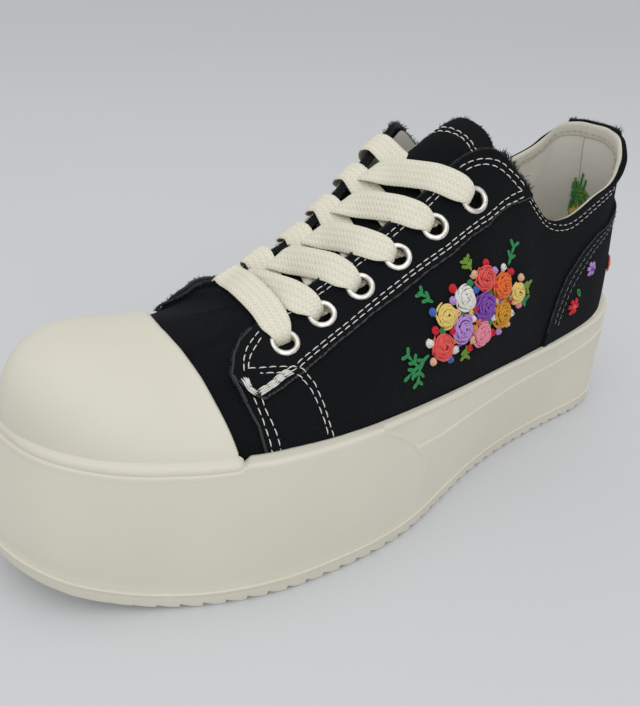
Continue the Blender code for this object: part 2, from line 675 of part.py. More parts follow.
def frame_about(axis):
    side = np.cross(axis, [0, 1.0, 0])
    side /= np.linalg.norm(side)
    return side, np.cross(axis, side)


def turned(profile, centre, axis, sides):
    """Rings of points for a closed profile of (radius, height) turned about an axis."""
    side, other = frame_about(axis)
    angle = np.arange(sides) * 2 * np.pi / sides
    spoke = np.cos(angle)[:, None] * side + np.sin(angle)[:, None] * other
    return np.stack([centre + radius * spoke + height * axis for radius, height in profile], 1)


def make_eyelet(name, centre, axis):
    back = -(EYESTAY_THICK + GAP + QUARTER_STEP + WALL) + 0.2
    barrel = [(EYELET_HOLE, back), (EYELET_BARREL, back), (EYELET_BARREL, EYELET_SEAT)]
    flange = [(EYELET_OUTER, EYELET_SEAT), (EYELET_OUTER - 0.4, EYELET_RISE), (EYELET_HOLE, EYELET_RISE - 0.3)]
    profile = barrel + flange
    grid = turned(profile, centre, axis, EYELET_SIDES)
    count = len(profile)
    faces = []
    for i in range(EYELET_SIDES):
        row = np.arange(count) + i * count
        faces += strip_faces(row, np.arange(count) + (i + 1) % EYELET_SIDES * count, True)
    return add_solid(name, grid.reshape(-1, 3), faces, METAL)


def hole_cutter(centre, axis):
    ring = turned([(EYELET_CUT, -6.0), (EYELET_CUT, 3.0)], centre, axis, HOLE_SIDES)
    count = HOLE_SIDES
    points = np.concatenate([ring[:, 0], ring[:, 1]])
    faces = strip_faces(np.arange(count), np.arange(count) + count, True)
    faces.append(tuple(range(count)))
    faces.append(tuple(range(count, 2 * count)))
    return points, faces


def cut(body, pieces, operation):
    """One boolean step with a helper made of separate closed pieces."""
    points, faces = [], []
    for piece_points, piece_faces in pieces:
        start = sum(len(p) for p in points)
        points.append(piece_points)
        faces += [tuple(int(i) + start for i in face) for face in piece_faces]
    helper = add_solid("helper", np.concatenate(points), faces, METAL)
    modifier = body.modifiers.new("cut", "BOOLEAN")
    modifier.operation = operation
    modifier.solver = "EXACT"
    modifier.object = helper
    view = bpy.context.evaluated_depsgraph_get()
    result = bpy.data.meshes.new_from_object(body.evaluated_get(view))
    body.modifiers.clear()
    body.data = result
    material = helper.data.materials[0]
    bpy.data.objects.remove(helper)
    bpy.data.materials.remove(material)


def smooth_path(points, count):
    """Evenly shared points on a smooth open curve through the given points."""
    points = np.asarray(points, float)
    slope = np.gradient(points, axis=0)
    place = np.linspace(0, len(points) - 1.0001, count)
    i = place.astype(int)
    f = (place - i)[:, None]
    return ((1 + 2 * f) * (1 - f) ** 2 * points[i] + f * (1 - f) ** 2 * slope[i]
            + f * f * (3 - 2 * f) * points[i + 1] - f * f * (1 - f) * slope[i + 1])


def ribbon(path, up):
    """Points and faces of a flat lace along a path; up holds its face direction at each point."""
    tangent = np.gradient(path, axis=0)
    side = np.cross(tangent, up)
    side /= np.linalg.norm(side, axis=1)[:, None]
    face = np.cross(side, tangent)
    face /= np.linalg.norm(face, axis=1)[:, None]
    w, h = LACE_WIDTH / 2, LACE_THICK / 2
    corners = [path + side * a + face * b for a, b in ((-w, -h), (w, -h), (w, h), (-w, h))]
    points = np.stack(corners, 1).reshape(-1, 3)
    faces = []
    for i in range(len(path) - 1):
        row = np.arange(4) + 4 * i
        faces += strip_faces(row, row + 4, True)
    faces.append((0, 1, 2, 3))
    end = 4 * (len(path) - 1)
    faces.append((end, end + 1, end + 2, end + 3))
    return points, faces


def lace_path(eyelet, drop, far_row):
    """From beside an eyelet, over the eyestay's edge and the tongue, to the gap beside the far edge."""
    q, share = eyelet
    face = QUARTER_STEP + GAP + EYESTAY_THICK + LACE_THICK / 2
    lateral = q < TOE_ROW
    middle = (q + mirror(far_row)) / 2
    middle_row = middle if lateral else mirror(middle)
    bridge = tongue_section(middle_row, 20.0)[5]
    far_side = tongue_section(far_row if not lateral else mirror(far_row), 20.0)
    landing = far_side[6] if lateral else far_side[4]
    rise = np.array([0, -0.3, 0.95])
    points = [shell(q + 0.12 * drop, share + LACE_START * (1 - share), face + LACE_LIFT),
              shell(q + 0.25 * drop, 1.0, face + LACE_LIFT),
              bridge + rise * (LACE_THICK / 2 + LACE_OVER),
              landing + rise * (LACE_THICK / 2 + LACE_LANDING)]
    up = [skin_normal(q, 0.9), skin_normal(q, 1.0) + rise, rise, rise]
    return smooth_path(points, 8), smooth_path(up, 8)


def lace_bar(first, second):
    """Straight across between the lowest pair of eyelets."""
    face = QUARTER_STEP + GAP + EYESTAY_THICK + LACE_THICK / 2
    bridge = tongue_section(first[0], 20.0)[5]
    rise = np.array([0, -0.3, 0.95])
    points, up = [], []
    for q, share in (first, second):
        side = [shell(q, share + LACE_START * (1 - share), face + BAR_LIFT), shell(q, 1.0, face + BAR_LIFT)]
        normals = [skin_normal(q, 0.9), skin_normal(q, 1.0) + rise]
        points.append(side)
        up.append(normals)
    path = points[0] + [bridge + rise * (LACE_THICK / 2 + LACE_OVER + 0.3)] + points[1][::-1]
    facing = up[0] + [rise] + up[1][::-1]
    return smooth_path(path, 11), smooth_path(facing, 11)


def make_laces(lateral, medial):
    add_solid("lace_bar", *ribbon(*lace_bar(lateral[0], medial[0])), CREAM)
    for k in range(1, len(lateral)):
        strips = []
        for near, far in ((lateral, medial), (medial, lateral)):
            drop = near[k - 1][0] - near[k][0]
            far_row = far[k][0] + LACE_DROP * (far[k - 1][0] - far[k][0])
            strips.append(ribbon(*lace_path(near[k], drop, far_row)))
        body = add_solid("lace_cross_%d" % (k + 1), *strips[0], CREAM)
        cut(body, [strips[1]], "UNION")


def build():
    for item in list(bpy.data.objects):
        bpy.data.objects.remove(item)
    make_outsole()
    make_midsole()
    make_insole()
    make_bead()
    make_cap()
    upper = make_upper()
    stays = [make_eyestay("eyestay_lateral", False), make_eyestay("eyestay_medial", True)]
    make_counter()
    make_tab()
    make_tongue()
    places = [eyelet_places(False), eyelet_places(True)]
    face = QUARTER_STEP + GAP + EYESTAY_THICK
    centres = [[(shell(q, t, face), skin_normal(q, t)) for q, t in side] for side in places]
    cutters = [[hole_cutter(*place) for place in side] for side in centres]
    cut(upper, cutters[0] + cutters[1], "DIFFERENCE")
    for stay, helpers in zip(stays, cutters):
        cut(stay, helpers, "DIFFERENCE")
    for side, name in zip(centres, ("lateral", "medial")):
        for k, (centre, axis) in enumerate(side):
            make_eyelet("eyelet_%s_%d" % (name, k + 1), centre, axis)
    make_laces(*places)


build()
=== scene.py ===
import bpy
import numpy as np
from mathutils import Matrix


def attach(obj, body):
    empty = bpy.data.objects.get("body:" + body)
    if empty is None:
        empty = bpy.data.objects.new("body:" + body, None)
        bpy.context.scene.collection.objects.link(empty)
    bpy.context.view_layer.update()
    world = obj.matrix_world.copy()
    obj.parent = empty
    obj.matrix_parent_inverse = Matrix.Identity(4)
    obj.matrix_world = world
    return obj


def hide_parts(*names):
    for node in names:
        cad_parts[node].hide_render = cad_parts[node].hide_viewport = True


# Looks of the platform sneaker: rubber, canvas, lace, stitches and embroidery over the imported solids.
# Shapes are in millimetres: s runs from the heel towards the toe, x is positive on the lateral side, z is up.
# The floor, lamps and camera are in metres.

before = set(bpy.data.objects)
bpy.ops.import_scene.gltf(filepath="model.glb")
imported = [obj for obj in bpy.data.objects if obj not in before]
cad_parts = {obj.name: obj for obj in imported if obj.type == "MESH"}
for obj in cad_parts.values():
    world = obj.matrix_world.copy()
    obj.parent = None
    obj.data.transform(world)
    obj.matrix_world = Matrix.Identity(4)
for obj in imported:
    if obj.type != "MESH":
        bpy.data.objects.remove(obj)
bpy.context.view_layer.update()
rng = np.random.default_rng(11)

MM = 0.001

# Overall sizes
HEEL_END = -3.5
TOE_END = 285.0
X_MIDDLE = 3.4
S_MIDDLE = (HEEL_END + TOE_END) / 2
GAP = 0.3

# Layers of the upper, as distances from its outer skin
LINING_DEPTH = -1.3
QUARTER_FACE = 1.0
STAY_FACE = 2.2
COUNTER_FACE = 2.3
TAB_FACE = 2.4
CAP_FACE = 2.5
TONGUE_DEPTH = [(10.0, -2.2), (12.5, -3.0), (13.4, -1.9), (14.2, -0.8)]
TONGUE_DOME = [(10.0, 0.30), (10.45, 0.15), (10.9, 0.05), (14.2, 0.05)]
TONGUE_THICK = 2.4
TONGUE_FACE_THICK = 1.0
TONGUE_EDGE_DROP = 1.1
TONGUE_THREADS = (1.15, 1.0)
# Sections of the tongue under the throat: (row, half width)
TONGUE_FRONT = (14.2, 26.0)
TONGUE_SECTIONS = [(13.4, 26.5), (12.6, 26.5), (11.8, 26.0), (11.0, 26.5), (10.4, 27.0), (10.0, 27.0)]
# Its front end from the first section, and the way its free top runs
TONGUE_FRONT_STEP = np.array([0, -11.0, -1.4])
TONGUE_TOP_WAY = np.array([0, 0.92, 0.27])
TONGUE_REACH = (7.2, 14.4)
TONGUE_CUT = 0.0010
TONGUE_CUT_START = 1.0
TONGUE_CUT_LEAST = 0.5
TONGUE_TAPER = 0.008
TONGUE_TAPER_MEDIAL = 0.028
# The tongue's medial side slumps: (section, drop, x where it starts)
TONGUE_SLUMP = [(6, 5.0, 0.0), (7, 10.0, 1.0), (8, 10.5, -2.0), (9, 10.0, -3.0)]
SLUMP_REACH = 16.0
# Front end of the throat: its last row, how far it sinks there and how far its middle stands up
THROAT_FRONT_END = 13.7
THROAT_FRONT_SINK = 2.6
THROAT_FRONT_DOME = 0.8
INSOLE_THICK = 4.0
INSOLE_INSET = -2.0
INSOLE_DISH = 0.9
# Rows where canvas pieces start or end
VAMP_START = 13.4
LINING_END = 14.5
COLLAR_END = 7.95
TAB_END = 1.62
STAY_START = 7.75
LIP_ROWS = (9.25, 14.25)
# Profiles along the opening edge: (distance under the edge, distance from the skin, lift)
COLLAR_FOLD = [(2.4, 1.02, 0), (1.6, 1.2, 0), (0.8, 1.3, 0), (0.0, 1.25, 0.1), (0.0, 1.0, 0.45),
               (0.0, 0.5, 0.62), (0.0, 0.1, 0.55), (0.3, -0.1, 0)]
COLLAR_HEEL_SWELL = 1.1
COLLAR_STRIP = [(0.3, 0.2, 0.0), (0.0, 0.05, 0.42), (0.0, -0.5, 0.5), (0.0, -1.0, 0.35), (0.2, -1.4, 0),
                (0.8, -1.65, 0), (1.6, -1.75, 0), (3.4, -1.65, 0), (4.6, -1.75, 0), (5.3, -1.65, 0),
                (5.7, -1.3, 0)]
TAB_FOOT = [(27.0, 1.0, 0), (26.8, 1.9, 0), (26.2, TAB_FACE, 0)]
TAB_TOP = [(0, TAB_FACE, 0.6), (0, 2.1, 1.2), (0, 1.5, 1.5), (0, 0.7, 1.4), (0, 0.2, 0.9), (0.4, 0.0, 0)]
# The way that the medial eyestay's lip ends up in, and the distance over which it bends there
LIP_LEVEL = np.array([0.97, 0.0, 0.22])
LIP_BEND = 5.0
# Profile of the medial eyestay's lip: (share of its reach, depth under its face)
LIP_PROFILE = [(0.0, 0.0), (0.2, 0.0), (0.45, 0.0), (0.7, 0.0), (0.9, 0.0), (1.0, 0.0), (1.02, 0.6),
               (1.0, 1.3), (0.5, 1.5)]

# Sole
OUTSOLE_THICK = 7.0
OUTSOLE_PROUD = 0.9
# Profile of the outsole's side: (out, height over the tread), then (share of its reach, depth under its top)
OUTSOLE_FOOT = [(-6.0, 0.0), (-1.2, 0.0), (-0.35, 0.05), (-0.05, 0.35), (0.1, 0.9)]
OUTSOLE_EDGE = [(0.4, 2.6), (0.55, 1.3), (0.9, 0.75), (1.0, 0.4), (0.8, 0.12), (0.4, 0.02)]
TOOTH_PITCH = 7.0
TOOTH_DEPTH = 1.5
TOOTH_LAND = 2.4
TOOTH_STEPS = (0.0, 0.5, 1.4, TOOTH_LAND, 3.4, 4.4, 5.4, 6.2, 6.7)
TOOTH_FADE = (232.0, 256.0)
TOE_SPRING = 15.0
SPRING_START = 226.0
HEEL_BEVEL = 5.0
BEVEL_START = 10.0
LIP_ROUND = 1.8
TOE_LIP_ROUND = 0.7
BUMPER_PROUD = 0.22
BUMPER_RIDGE = 0.45
BUMPER_RIDGE_WIDTH = 0.8
BUMPER_EDGE_WIDTH = 0.9
STRIP_SET_BACK = 0.75
# Front end of the strip's material, and the midsole's rings that it covers
STRIP_FRONT = 152.0
STRIP_RINGS = (27, 46)
# Steps of the strip's lower edge: (height over the edge, share of the set-back)
STRIP_EDGE = [(-0.55, 0.02), (-0.25, 0.14), (-0.08, 0.45), (0.0, 0.95), (0.25, 1.02), (0.7, 1.0)]
STRIP_EDGE_TOP = STRIP_EDGE[-1][0]
STRIP_EDGE_FOOT = 0.9
# The wall bulges from this s on, over this length
WALL_BULGE = 1.2
BULGE_START = 120.0
BULGE_FADE = 60.0
RECESS_OUT = 1.5
BEAD_HEIGHT = 3.1
BEAD_INSET = 0.5
# How far its ends pass the cap, in rows, and the length over which they round off
BEAD_OVERRUN = 0.11
BEAD_END_ROUND = 3.0
# Profile of the bead, as shares of its reach and height
BEAD_PROFILE = [(1.0, 0.0), (1.03, 0.12), (1.03, 0.28), (1.0, 0.42), (0.92, 0.58), (0.80, 0.72), (0.64, 0.83),
                (0.46, 0.91), (0.28, 0.96), (0.12, 1.0), (0.0, 1.06), (-0.12, 1.12)]

# Eyelets and lace
EYELET_CUT = 4.2
EYELET_SIDES = 48
# Turned profile of an eyelet: (radius, height over the canvas)
EYELET_PROFILE = [(3.3, -3.9), (3.25, -2.0), (3.25, 0.0), (3.3, 0.40), (3.5, 0.78), (3.85, 1.0), (4.3, 1.08),
                  (4.8, 0.97), (5.15, 0.72), (5.38, 0.36), (5.45, 0.0), (5.42, -0.4)]
LACE_WIDTH = 11.0
LACE_NARROW = 6.4
LACE_THICK = 1.3
LACE_SIDES = 18
LACE_SPACING = 0.8
# Pitch of the weave across and along the lace
LACE_RIB = 1.2
LACE_CHEVRON = 1.6
# Directions that the lace's faces look along
LACE_RISE = np.array([0, -0.42, 0.91])
LACE_FRONT = np.array([0.05, -0.82, 0.57])
# By side, 1 lateral and -1 medial: where the crossings leave and meet the throat edges, in levels below the
# eyelet they run to, how far they are lifted there and half way, and which way they face
LEAVE_LEVELS = {1: 0.93, -1: 0.63}
MEET_LEVELS = {1: (0.0, 0.33, 0.36, 0.48, 0.48, 0.58), -1: (0.0, 0.12, 0.08, 0.10, 0.10, 0.25)}
MEET_LIFT = {1: 1.5, -1: 2.0}
MIDDLE_LIFT = {1: 1.0, -1: -2.2}
LEAVE_LIFT = {1: 0.6, -1: -1.4}
CROSS_FACE = {1: LACE_FRONT, -1: LACE_RISE}
# Run of the lace into an eyelet: (back from its centre, height, share of the full width)
EYELET_RUN = [(6.6, 1.7, 0.95), (4.4, 1.8, 0.82), (2.5, 0.9, 0.64)]
# The bar at the lowest eyelets: lift of its middle, then by side how far it leans to the toe and its lift
BAR_LIFT = 2.8
BAR_LEAN = {1: 0.09, -1: 0.0}
BAR_MEET_LIFT = {1: 1.7, -1: 2.0}

# The upper, one row a line from the foot edge to the opening, heel to toe:
# foot edge, how far the wall rises and bulges, the opening edge, the reach of the surface there,
# and how much further out, forward and up the opening edge lies on the medial side
UPPER_COLUMNS = ("foot_s", "lateral", "medial", "rise", "bulge",
                 "edge_s", "edge_half", "edge_z", "reach_out", "reach_down", "medial_out", "medial_lag",
                 "medial_up")
UPPER_ROWS = [
    (3, 0, 0, 27, 2.5, 9, 0, 130, -2.5, 26, 0, 0, 0),
    (4.6, 11.5, -11.5, 27, 2, 9.2, 8.6, 129.6, -2.5, 26, 0, 0, 0),
    (8.8, 20, -19.6, 26, 2, 11, 16.2, 126.8, -3, 24, 0, 0, 0.6),
    (14.8, 25.2, -24.5, 26, 1.5, 13.4, 20.4, 119.5, -2.5, 20, 0, 0, 3.2),
    (24, 28.6, -27.6, 26, 1, 19.5, 22.8, 113, 0, 20, 0, 0, 4),
    (38, 31.2, -29.8, 26, 1, 34.5, 25.6, 109.3, 1.5, 20, 0, 0, 1.2),
    (56, 33.6, -30.6, 26, 1, 54, 27.5, 103.6, 2.5, 20, 0, 0, 0),
    (70, 35.3, -30.4, 26, 1.5, 67.5, 27.2, 106, 4, 21, 0, 1, 0),
    (82, 36.9, -30.4, 28, 2, 80, 25, 118.5, 8, 24, 4, 4, 0),
    (92, 38.5, -30.7, 30, 2.5, 90.5, 18.8, 130.5, 13, 26, 8, 8, 0),
    (103, 40.3, -31.4, 32, 3.5, 100, 14.6, 130, 17.5, 22, 8, 8, 0),
    (122, 43.6, -33.6, 34, 3, 121, 13.3, 116, 17.5, 14, 7, 5, 1),
    (150, 47.4, -38.2, 33, 3, 150, 13.5, 99.7, 17, 13, 3, 1, 0),
    (172, 49.6, -42, 27, 3, 172, 13.5, 89, 17, 11, 1, 0, 0),
    (188, 50, -43.6, 22, 3, 185.5, 12.5, 84, 17, 9, 0, 0, 0),
    (204, 48.4, -44.2, 19, 3, 191.5, 9.5, 85.2, 21, 7.4, 0, 0, 0),
    (222, 42.6, -42.2, 17.5, 3.4, 193.8, 6.2, 83.9, 24.5, 5.8, 0, 0, 0),
    (240, 34, -35.8, 22.5, 3.6, 194.8, 3.8, 83.6, 32.5, 5.8, 0, 0, 0),
    (255, 24, -27.2, 33, 4, 195.2, 2.2, 83.5, 41, 5.6, 0, 0, 0),
    (265, 11.5, -18.6, 45, 4.4, 195.5, 1, 83.6, 50.5, 5.2, 0, 0, 0),
    (270.8, -5, -5, 48, 4.6, 195.6, 0, 84, 54.5, 4.8, 0, 0, 0),
]
TOE_ROW = len(UPPER_ROWS) - 1
RING = 2 * TOE_ROW

# The sole, heel to toe: outline at the foot of the wall and at its top
SOLE_COLUMNS = ("low_s", "low_lateral", "low_medial", "top_s", "top_lateral", "top_medial")
SOLE_ROWS = [
    (-3.5, 0, 0, -3.5, 0, 0),
    (-2.3, 11.5, -11.5, -2.3, 11.8, -11.6),
    (1.8, 22.4, -21.8, 1.8, 22.8, -22),
    (9, 29.4, -28.4, 9, 29.8, -28.6),
    (20, 32.8, -31.8, 20, 33.6, -31.9),
    (38, 34.2, -33.2, 38, 36.4, -34),
    (60, 35.7, -33.6, 60, 39.2, -35),
    (82, 38.4, -33, 82, 41.4, -35),
    (104, 43, -33.4, 104, 45.3, -36),
    (126, 49.8, -36.6, 126, 49.4, -39),
    (146, 56, -41.6, 146, 52.3, -42.6),
    (166, 58.8, -46.4, 166, 54.6, -46),
    (186, 58.7, -49.8, 186, 55.2, -48.6),
    (204, 56.9, -51.2, 203, 53.9, -49.8),
    (222, 52, -50.4, 219, 48.8, -48.6),
    (240, 44.3, -46, 235, 42, -44.6),
    (256, 36.1, -39.2, 249, 35, -38.4),
    (268, 28.4, -31.6, 260, 26.6, -31),
    (277, 18.5, -23, 268.5, 16.5, -22.8),
    (283, 6.5, -15.5, 273.5, 5, -15.4),
    (285, -5, -5, 275.4, -6, -6),
]

# Heights along the shoe: (s, z)
RIM_HEIGHT = [(-3.5, 55), (4, 54), (10, 52.3), (18, 50.3), (30, 49.2), (50, 48.2), (75, 47.9), (100, 49.2),
              (125, 50.6), (150, 52), (175, 53.6), (200, 55), (213.5, 55.2), (217, 52.8), (228, 52.7),
              (240, 53.4), (252, 54.5), (262, 55.8), (270, 56.8), (285, 57.2)]
BED_HEIGHT = [(-3.5, 43.5), (40, 42.5), (75, 41.5), (120, 42.5), (200, 43.5), (240, 44.5), (285, 47.0)]
STEP_HEIGHT = [(-3.5, 44), (10, 42), (22, 40), (41, 37.5), (60, 37), (95, 35.5), (130, 35.5), (146, 37.5),
               (165, 40), (285, 44)]
# Rear end of the front bumper: (z, s)
BUMPER_END = [(0, 141), (14, 139.5), (27.7, 139.4), (37, 145.6), (44.3, 152.7), (49.5, 160), (54, 169)]
BUMPER_FADE = (12.0, 27.0)

# Front edge of the quarters and eyestays: (share of the way up, row)
QUARTER_FRONT = [(0, 15.1), (0.2, 15.12), (0.35, 15.22), (0.457, 15.4), (0.55, 15.58), (0.62, 15.8),
                 (0.67, 15.78), (0.72, 15.77), (0.794, 15.57), (0.855, 15.1), (0.92, 14.8), (1, 14.55)]
# Lower edge of the eyestays and upper edge of the heel counter: (row, share of the way up)
STAY_EDGE = [(7.75, 0.985), (8.36, 0.865), (9, 0.772), (9.93, 0.697), (10.6, 0.668), (11.24, 0.655),
             (11.97, 0.646), (12.37, 0.63), (13, 0.596), (13.4, 0.57), (13.66, 0.558), (14.2, 0.52),
             (14.7, 0.482), (14.8, 0.495), (14.95, 0.56), (15.1, 0.62)]
COUNTER_EDGE = [(0, 0.7), (3.3, 0.7), (4.63, 0.695), (5.28, 0.639), (5.78, 0.533), (6.03, 0.418),
                (6.26, 0.283), (6.42, 0.12)]
COUNTER_END = 6.42
# Folded edge of the counter: height, distance from the rim, width
COUNTER_FOLD = (0.35, 2.0, 1.7)
# Rear edge of the toe cap: (distance from the middle line, s)
CAP_EDGE = [(0, 221.2), (4, 221), (9, 220.1), (14, 219), (25, 217), (33, 216), (40, 214.8), (47, 213.6)]
CAP_END_ROW = 15.62
# How far that edge drops, and the width over which it rounds off
CAP_EDGE_DROP = 1.2
CAP_EDGE_ROUND = 1.4
# Fuller front shoulder of the cap: x, s, width, height
CAP_SHOULDER = (-16.0, 252.0, 15.0, 1.8)
# How far the medial eyestay reaches over the throat: (row, distance)
STAY_LIP = [(9.2, 0.0), (9.9, 2.5), (10.4, 5.0), (12.6, 5.0), (13.6, 2.5), (14.3, 0.0)]
# How far the collar is trimmed below the skin's edge: (row, distance)
COLLAR_TRIM = [(3.0, 0.0), (4.3, 1.2), (5.4, 2.0), (6.4, 2.0), (7.2, 1.0), (8.0, 0.0)]
# Eyelet centres, lowest first: (s, half distance)
EYELETS = [(186.2, 25.2), (170.1, 23.5), (154.1, 23.2), (137.9, 22.7), (121.5, 22.4), (104.7, 23.4)]

# Soft creases of the canvas: row and share at both ends, width and height; medial rows are negative
CREASES = [
    (6.7, 0.96, 8.6, 0.52, 5, -0.55),
    (7.2, 0.8, 9.3, 0.3, 6, 0.35),
    (3.2, 0.97, 3.7, 0.72, 3.5, -0.4),
    (15.6, 0.86, 17.4, 0.7, 4, -0.45),
    (16, 0.62, 17.6, 0.52, 4, 0.3),
    (13.2, 0.42, 14.6, 0.2, 5, -0.35),
    (-6.7, 0.96, -8.8, 0.5, 5, -0.6),
    (-7.6, 0.75, -9, 0.25, 6, 0.4),
    (-3, 0.97, -3.6, 0.7, 3.5, -0.5),
    (-12.6, 0.5, -14.4, 0.22, 5, -0.45),
    (-13, 0.99, -15.2, 0.82, 7, 1.9),
]


# The skin of the upper and the outlines of the sole

def shoe_point(x, s, z):
    return np.stack(np.broadcast_arrays(x - X_MIDDLE, S_MIDDLE - s, z), -1).astype(float)


def s_of(points):
    return S_MIDDLE - points[..., 1]


def x_of(points):
    return points[..., 0] + X_MIDDLE


def along(table, value):
    return np.interp(value, [row[0] for row in table], [row[1] for row in table])


def smooth_step(value):
    value = np.clip(value, 0.0, 1.0)
    return value * value * (3 - 2 * value)


def unit(vectors):
    return vectors / np.maximum(np.linalg.norm(vectors, axis=-1), 1e-9)[..., None]


def level_out(tangent):
    """Level directions that point out of a ring, from its tangents."""
    return unit(np.stack([-tangent[:, 1], tangent[:, 0], np.zeros(len(tangent))], 1))


def travel(points):
    """Distance walked along a line of points."""
    return np.concatenate([[0.0], np.cumsum(np.linalg.norm(np.diff(points, axis=0), axis=1))])


def hermite(f, a, b, a_slope, b_slope):
    """Cubic from a to b with given slopes at both ends."""
    return ((1 + 2 * f) * (1 - f) ** 2 * a + f * (1 - f) ** 2 * a_slope
            + f * f * (3 - 2 * f) * b - f * f * (1 - f) * b_slope)


def bezier(f, a, b, c, d):
    return (1 - f) ** 3 * a + 3 * f * (1 - f) ** 2 * b + 3 * f * f * (1 - f) * c + f ** 3 * d


def ground_rise(s):
    toe = np.clip((s - SPRING_START) / (TOE_END - SPRING_START), 0, 1) ** 2 * TOE_SPRING
    heel = np.clip((BEVEL_START - s) / (BEVEL_START - HEEL_END), 0, 1) ** 2 * HEEL_BEVEL
    return toe + heel


class Loop:
    """A smooth closed curve through rows of points; q counts rows."""

    def __init__(self, points, knots):
        self.points = points
        self.count = len(points)
        ahead = np.roll(points, -1, 0) - points
        step = np.linalg.norm(np.roll(knots, -1, 0) - knots, axis=1)[:, None]
        back_step = np.roll(step, 1, 0)
        slope = ahead / step
        back_slope = np.roll(slope, 1, 0)
        self.step = step
        self.slope = (slope * back_step + back_slope * step) / (step + back_step)

    def at(self, q):
        q = np.asarray(q, float) % self.count
        i = np.floor(q).astype(int) % self.count
        j = (i + 1) % self.count
        f = (q - np.floor(q))[..., None]
        h = self.step[i]
        return hermite(f, self.points[i], self.points[j], h * self.slope[i], h * self.slope[j])


def closed_rows(lateral, medial):
    return np.concatenate([lateral, medial[-2:0:-1]])


def read_table(rows, names):
    return dict(zip(names, np.array(rows, float).T))


def sole_loops():
    t = read_table(SOLE_ROWS, SOLE_COLUMNS)
    low = closed_rows(shoe_point(t["low_lateral"], t["low_s"], 0), shoe_point(t["low_medial"], t["low_s"], 0))
    top = closed_rows(shoe_point(t["top_lateral"], t["top_s"], 0), shoe_point(t["top_medial"], t["top_s"], 0))
    return Loop(low, low), Loop(top, top)


def upper_loops():
    """Four guide curves of the upper: foot, wall, brow and opening edge."""
    t = read_table(UPPER_ROWS, UPPER_COLUMNS)
    bed = along(BED_HEIGHT, t["foot_s"]) + GAP
    foot = closed_rows(shoe_point(t["lateral"], t["foot_s"], bed), shoe_point(t["medial"], t["foot_s"], bed))
    half, edge_s, edge_z = t["edge_half"], t["edge_s"], t["edge_z"]
    medial_edge = shoe_point(-half - t["medial_out"], edge_s + t["medial_lag"], edge_z + t["medial_up"])
    edge = closed_rows(shoe_point(half, edge_s, edge_z), medial_edge)
    both = {name: np.concatenate([t[name], t[name][-2:0:-1]]) for name in UPPER_COLUMNS}
    tangent = np.roll(foot, -1, 0) - np.roll(foot, 1, 0)
    wall = foot + level_out(tangent) * both["bulge"][:, None]
    wall[:, 2] += both["rise"]
    away = foot - edge
    away[:, 2] = 0
    brow = edge + unit(away) * both["reach_out"][:, None]
    brow[:, 2] -= both["reach_down"]
    return [Loop(curve, foot) for curve in (foot, wall, brow, edge)]


LOW, TOP = sole_loops()
GUIDES = upper_loops()


def skin(q, t):
    """The canvas surface: q counts rows round the foot, t runs from foot edge to opening."""
    q, t = np.broadcast_arrays(np.asarray(q, float), np.asarray(t, float))
    return bezier(t[..., None], *(curve.at(q) for curve in GUIDES))


def skin_normal(q, t):
    q, t = np.broadcast_arrays(np.asarray(q, float), np.asarray(t, float))
    low, high = np.clip(t - 0.01, 0, 1), np.clip(t + 0.01, 0, 1)
    up = skin(q, high) - skin(q, low)
    forward = skin(q + 0.02, t) - skin(q - 0.02, t)
    return unit(np.cross(up, forward))


def shell(q, t, offset):
    return skin(q, t) + skin_normal(q, t) * np.asarray(offset, float)[..., None]


def last_share(q, high, test):
    """The share of the way up, below high, up to which a test of the skin's points holds."""
    low, high = np.zeros_like(q), np.full_like(q, high)
    for _ in range(30):
        middle = (low + high) / 2
        passed = test(skin(q, middle))
        low, high = np.where(passed, middle, low), np.where(passed, high, middle)
    return (low + high) / 2


def share_at_height(q, z):
    """How far up the wall its height first reaches z."""
    return last_share(q, 0.5, lambda point: point[..., 2] < z)


def cap_share(q):
    """How far up the wall the rear edge of the toe cap crosses each row."""
    return last_share(q, 1.0, lambda point: s_of(point) > along(CAP_EDGE, np.abs(x_of(point))))


def find_on_skin(s, other, axis, q, t):
    """Row and share of the skin's point at s and x (axis 0) or s and z (axis 2), from a first guess."""
    shift = X_MIDDLE if axis == 0 else 0.0
    for _ in range(15):
        here = skin(q, t)
        by_q = (skin(q + 0.01, t) - here) / 0.01
        by_t = (skin(q, t + 0.005) - here) / 0.005
        matrix = np.array([[-by_q[1], -by_t[1]], [by_q[axis], by_t[axis]]])
        change = np.linalg.solve(matrix, [s - s_of(here), other - here[axis] - shift])
        q, t = q + change[0], t + change[1]
    return q, t


def sole_row(q):
    """The row of the sole's outline that faces a row of the upper."""
    q = np.asarray(q, float) % RING
    side = np.where(q > TOE_ROW, RING - q, q)
    dense = np.linspace(0, TOE_ROW, 400)
    foot_s = np.maximum.accumulate(s_of(GUIDES[0].at(dense)))
    top_s = np.maximum.accumulate(s_of(TOP.at(dense)))
    share = (np.interp(side, dense, foot_s) - foot_s[0]) / (foot_s[-1] - foot_s[0])
    row = np.interp(top_s[0] + share * (top_s[-1] - top_s[0]), top_s, dense)
    return np.where(q > TOE_ROW, RING - row, row)


def lip_height(q):
    return along(RIM_HEIGHT, s_of(TOP.at(sole_row(q))))


def bent(side, t):
    """Row of a column at share t: columns near the quarter's front edge bend to follow it."""
    start = QUARTER_FRONT[0][1]
    behind = smooth_step((np.abs(side) - 9) / (start - 9))
    return side + np.sign(side) * behind * (along(QUARTER_FRONT, t) - start)


# Measures along the canvas, used by its threads and its creases

WEAVE_ROWS = np.linspace(-TOE_ROW, TOE_ROW, 801)
WEAVE_ALONG = travel(skin(WEAVE_ROWS, 0.4))
WEAVE_WALL = skin(WEAVE_ROWS[:, None], np.linspace(0, 1, 30)[None, :])
WEAVE_UP = np.linalg.norm(np.diff(WEAVE_WALL, axis=1), axis=2).sum(1)


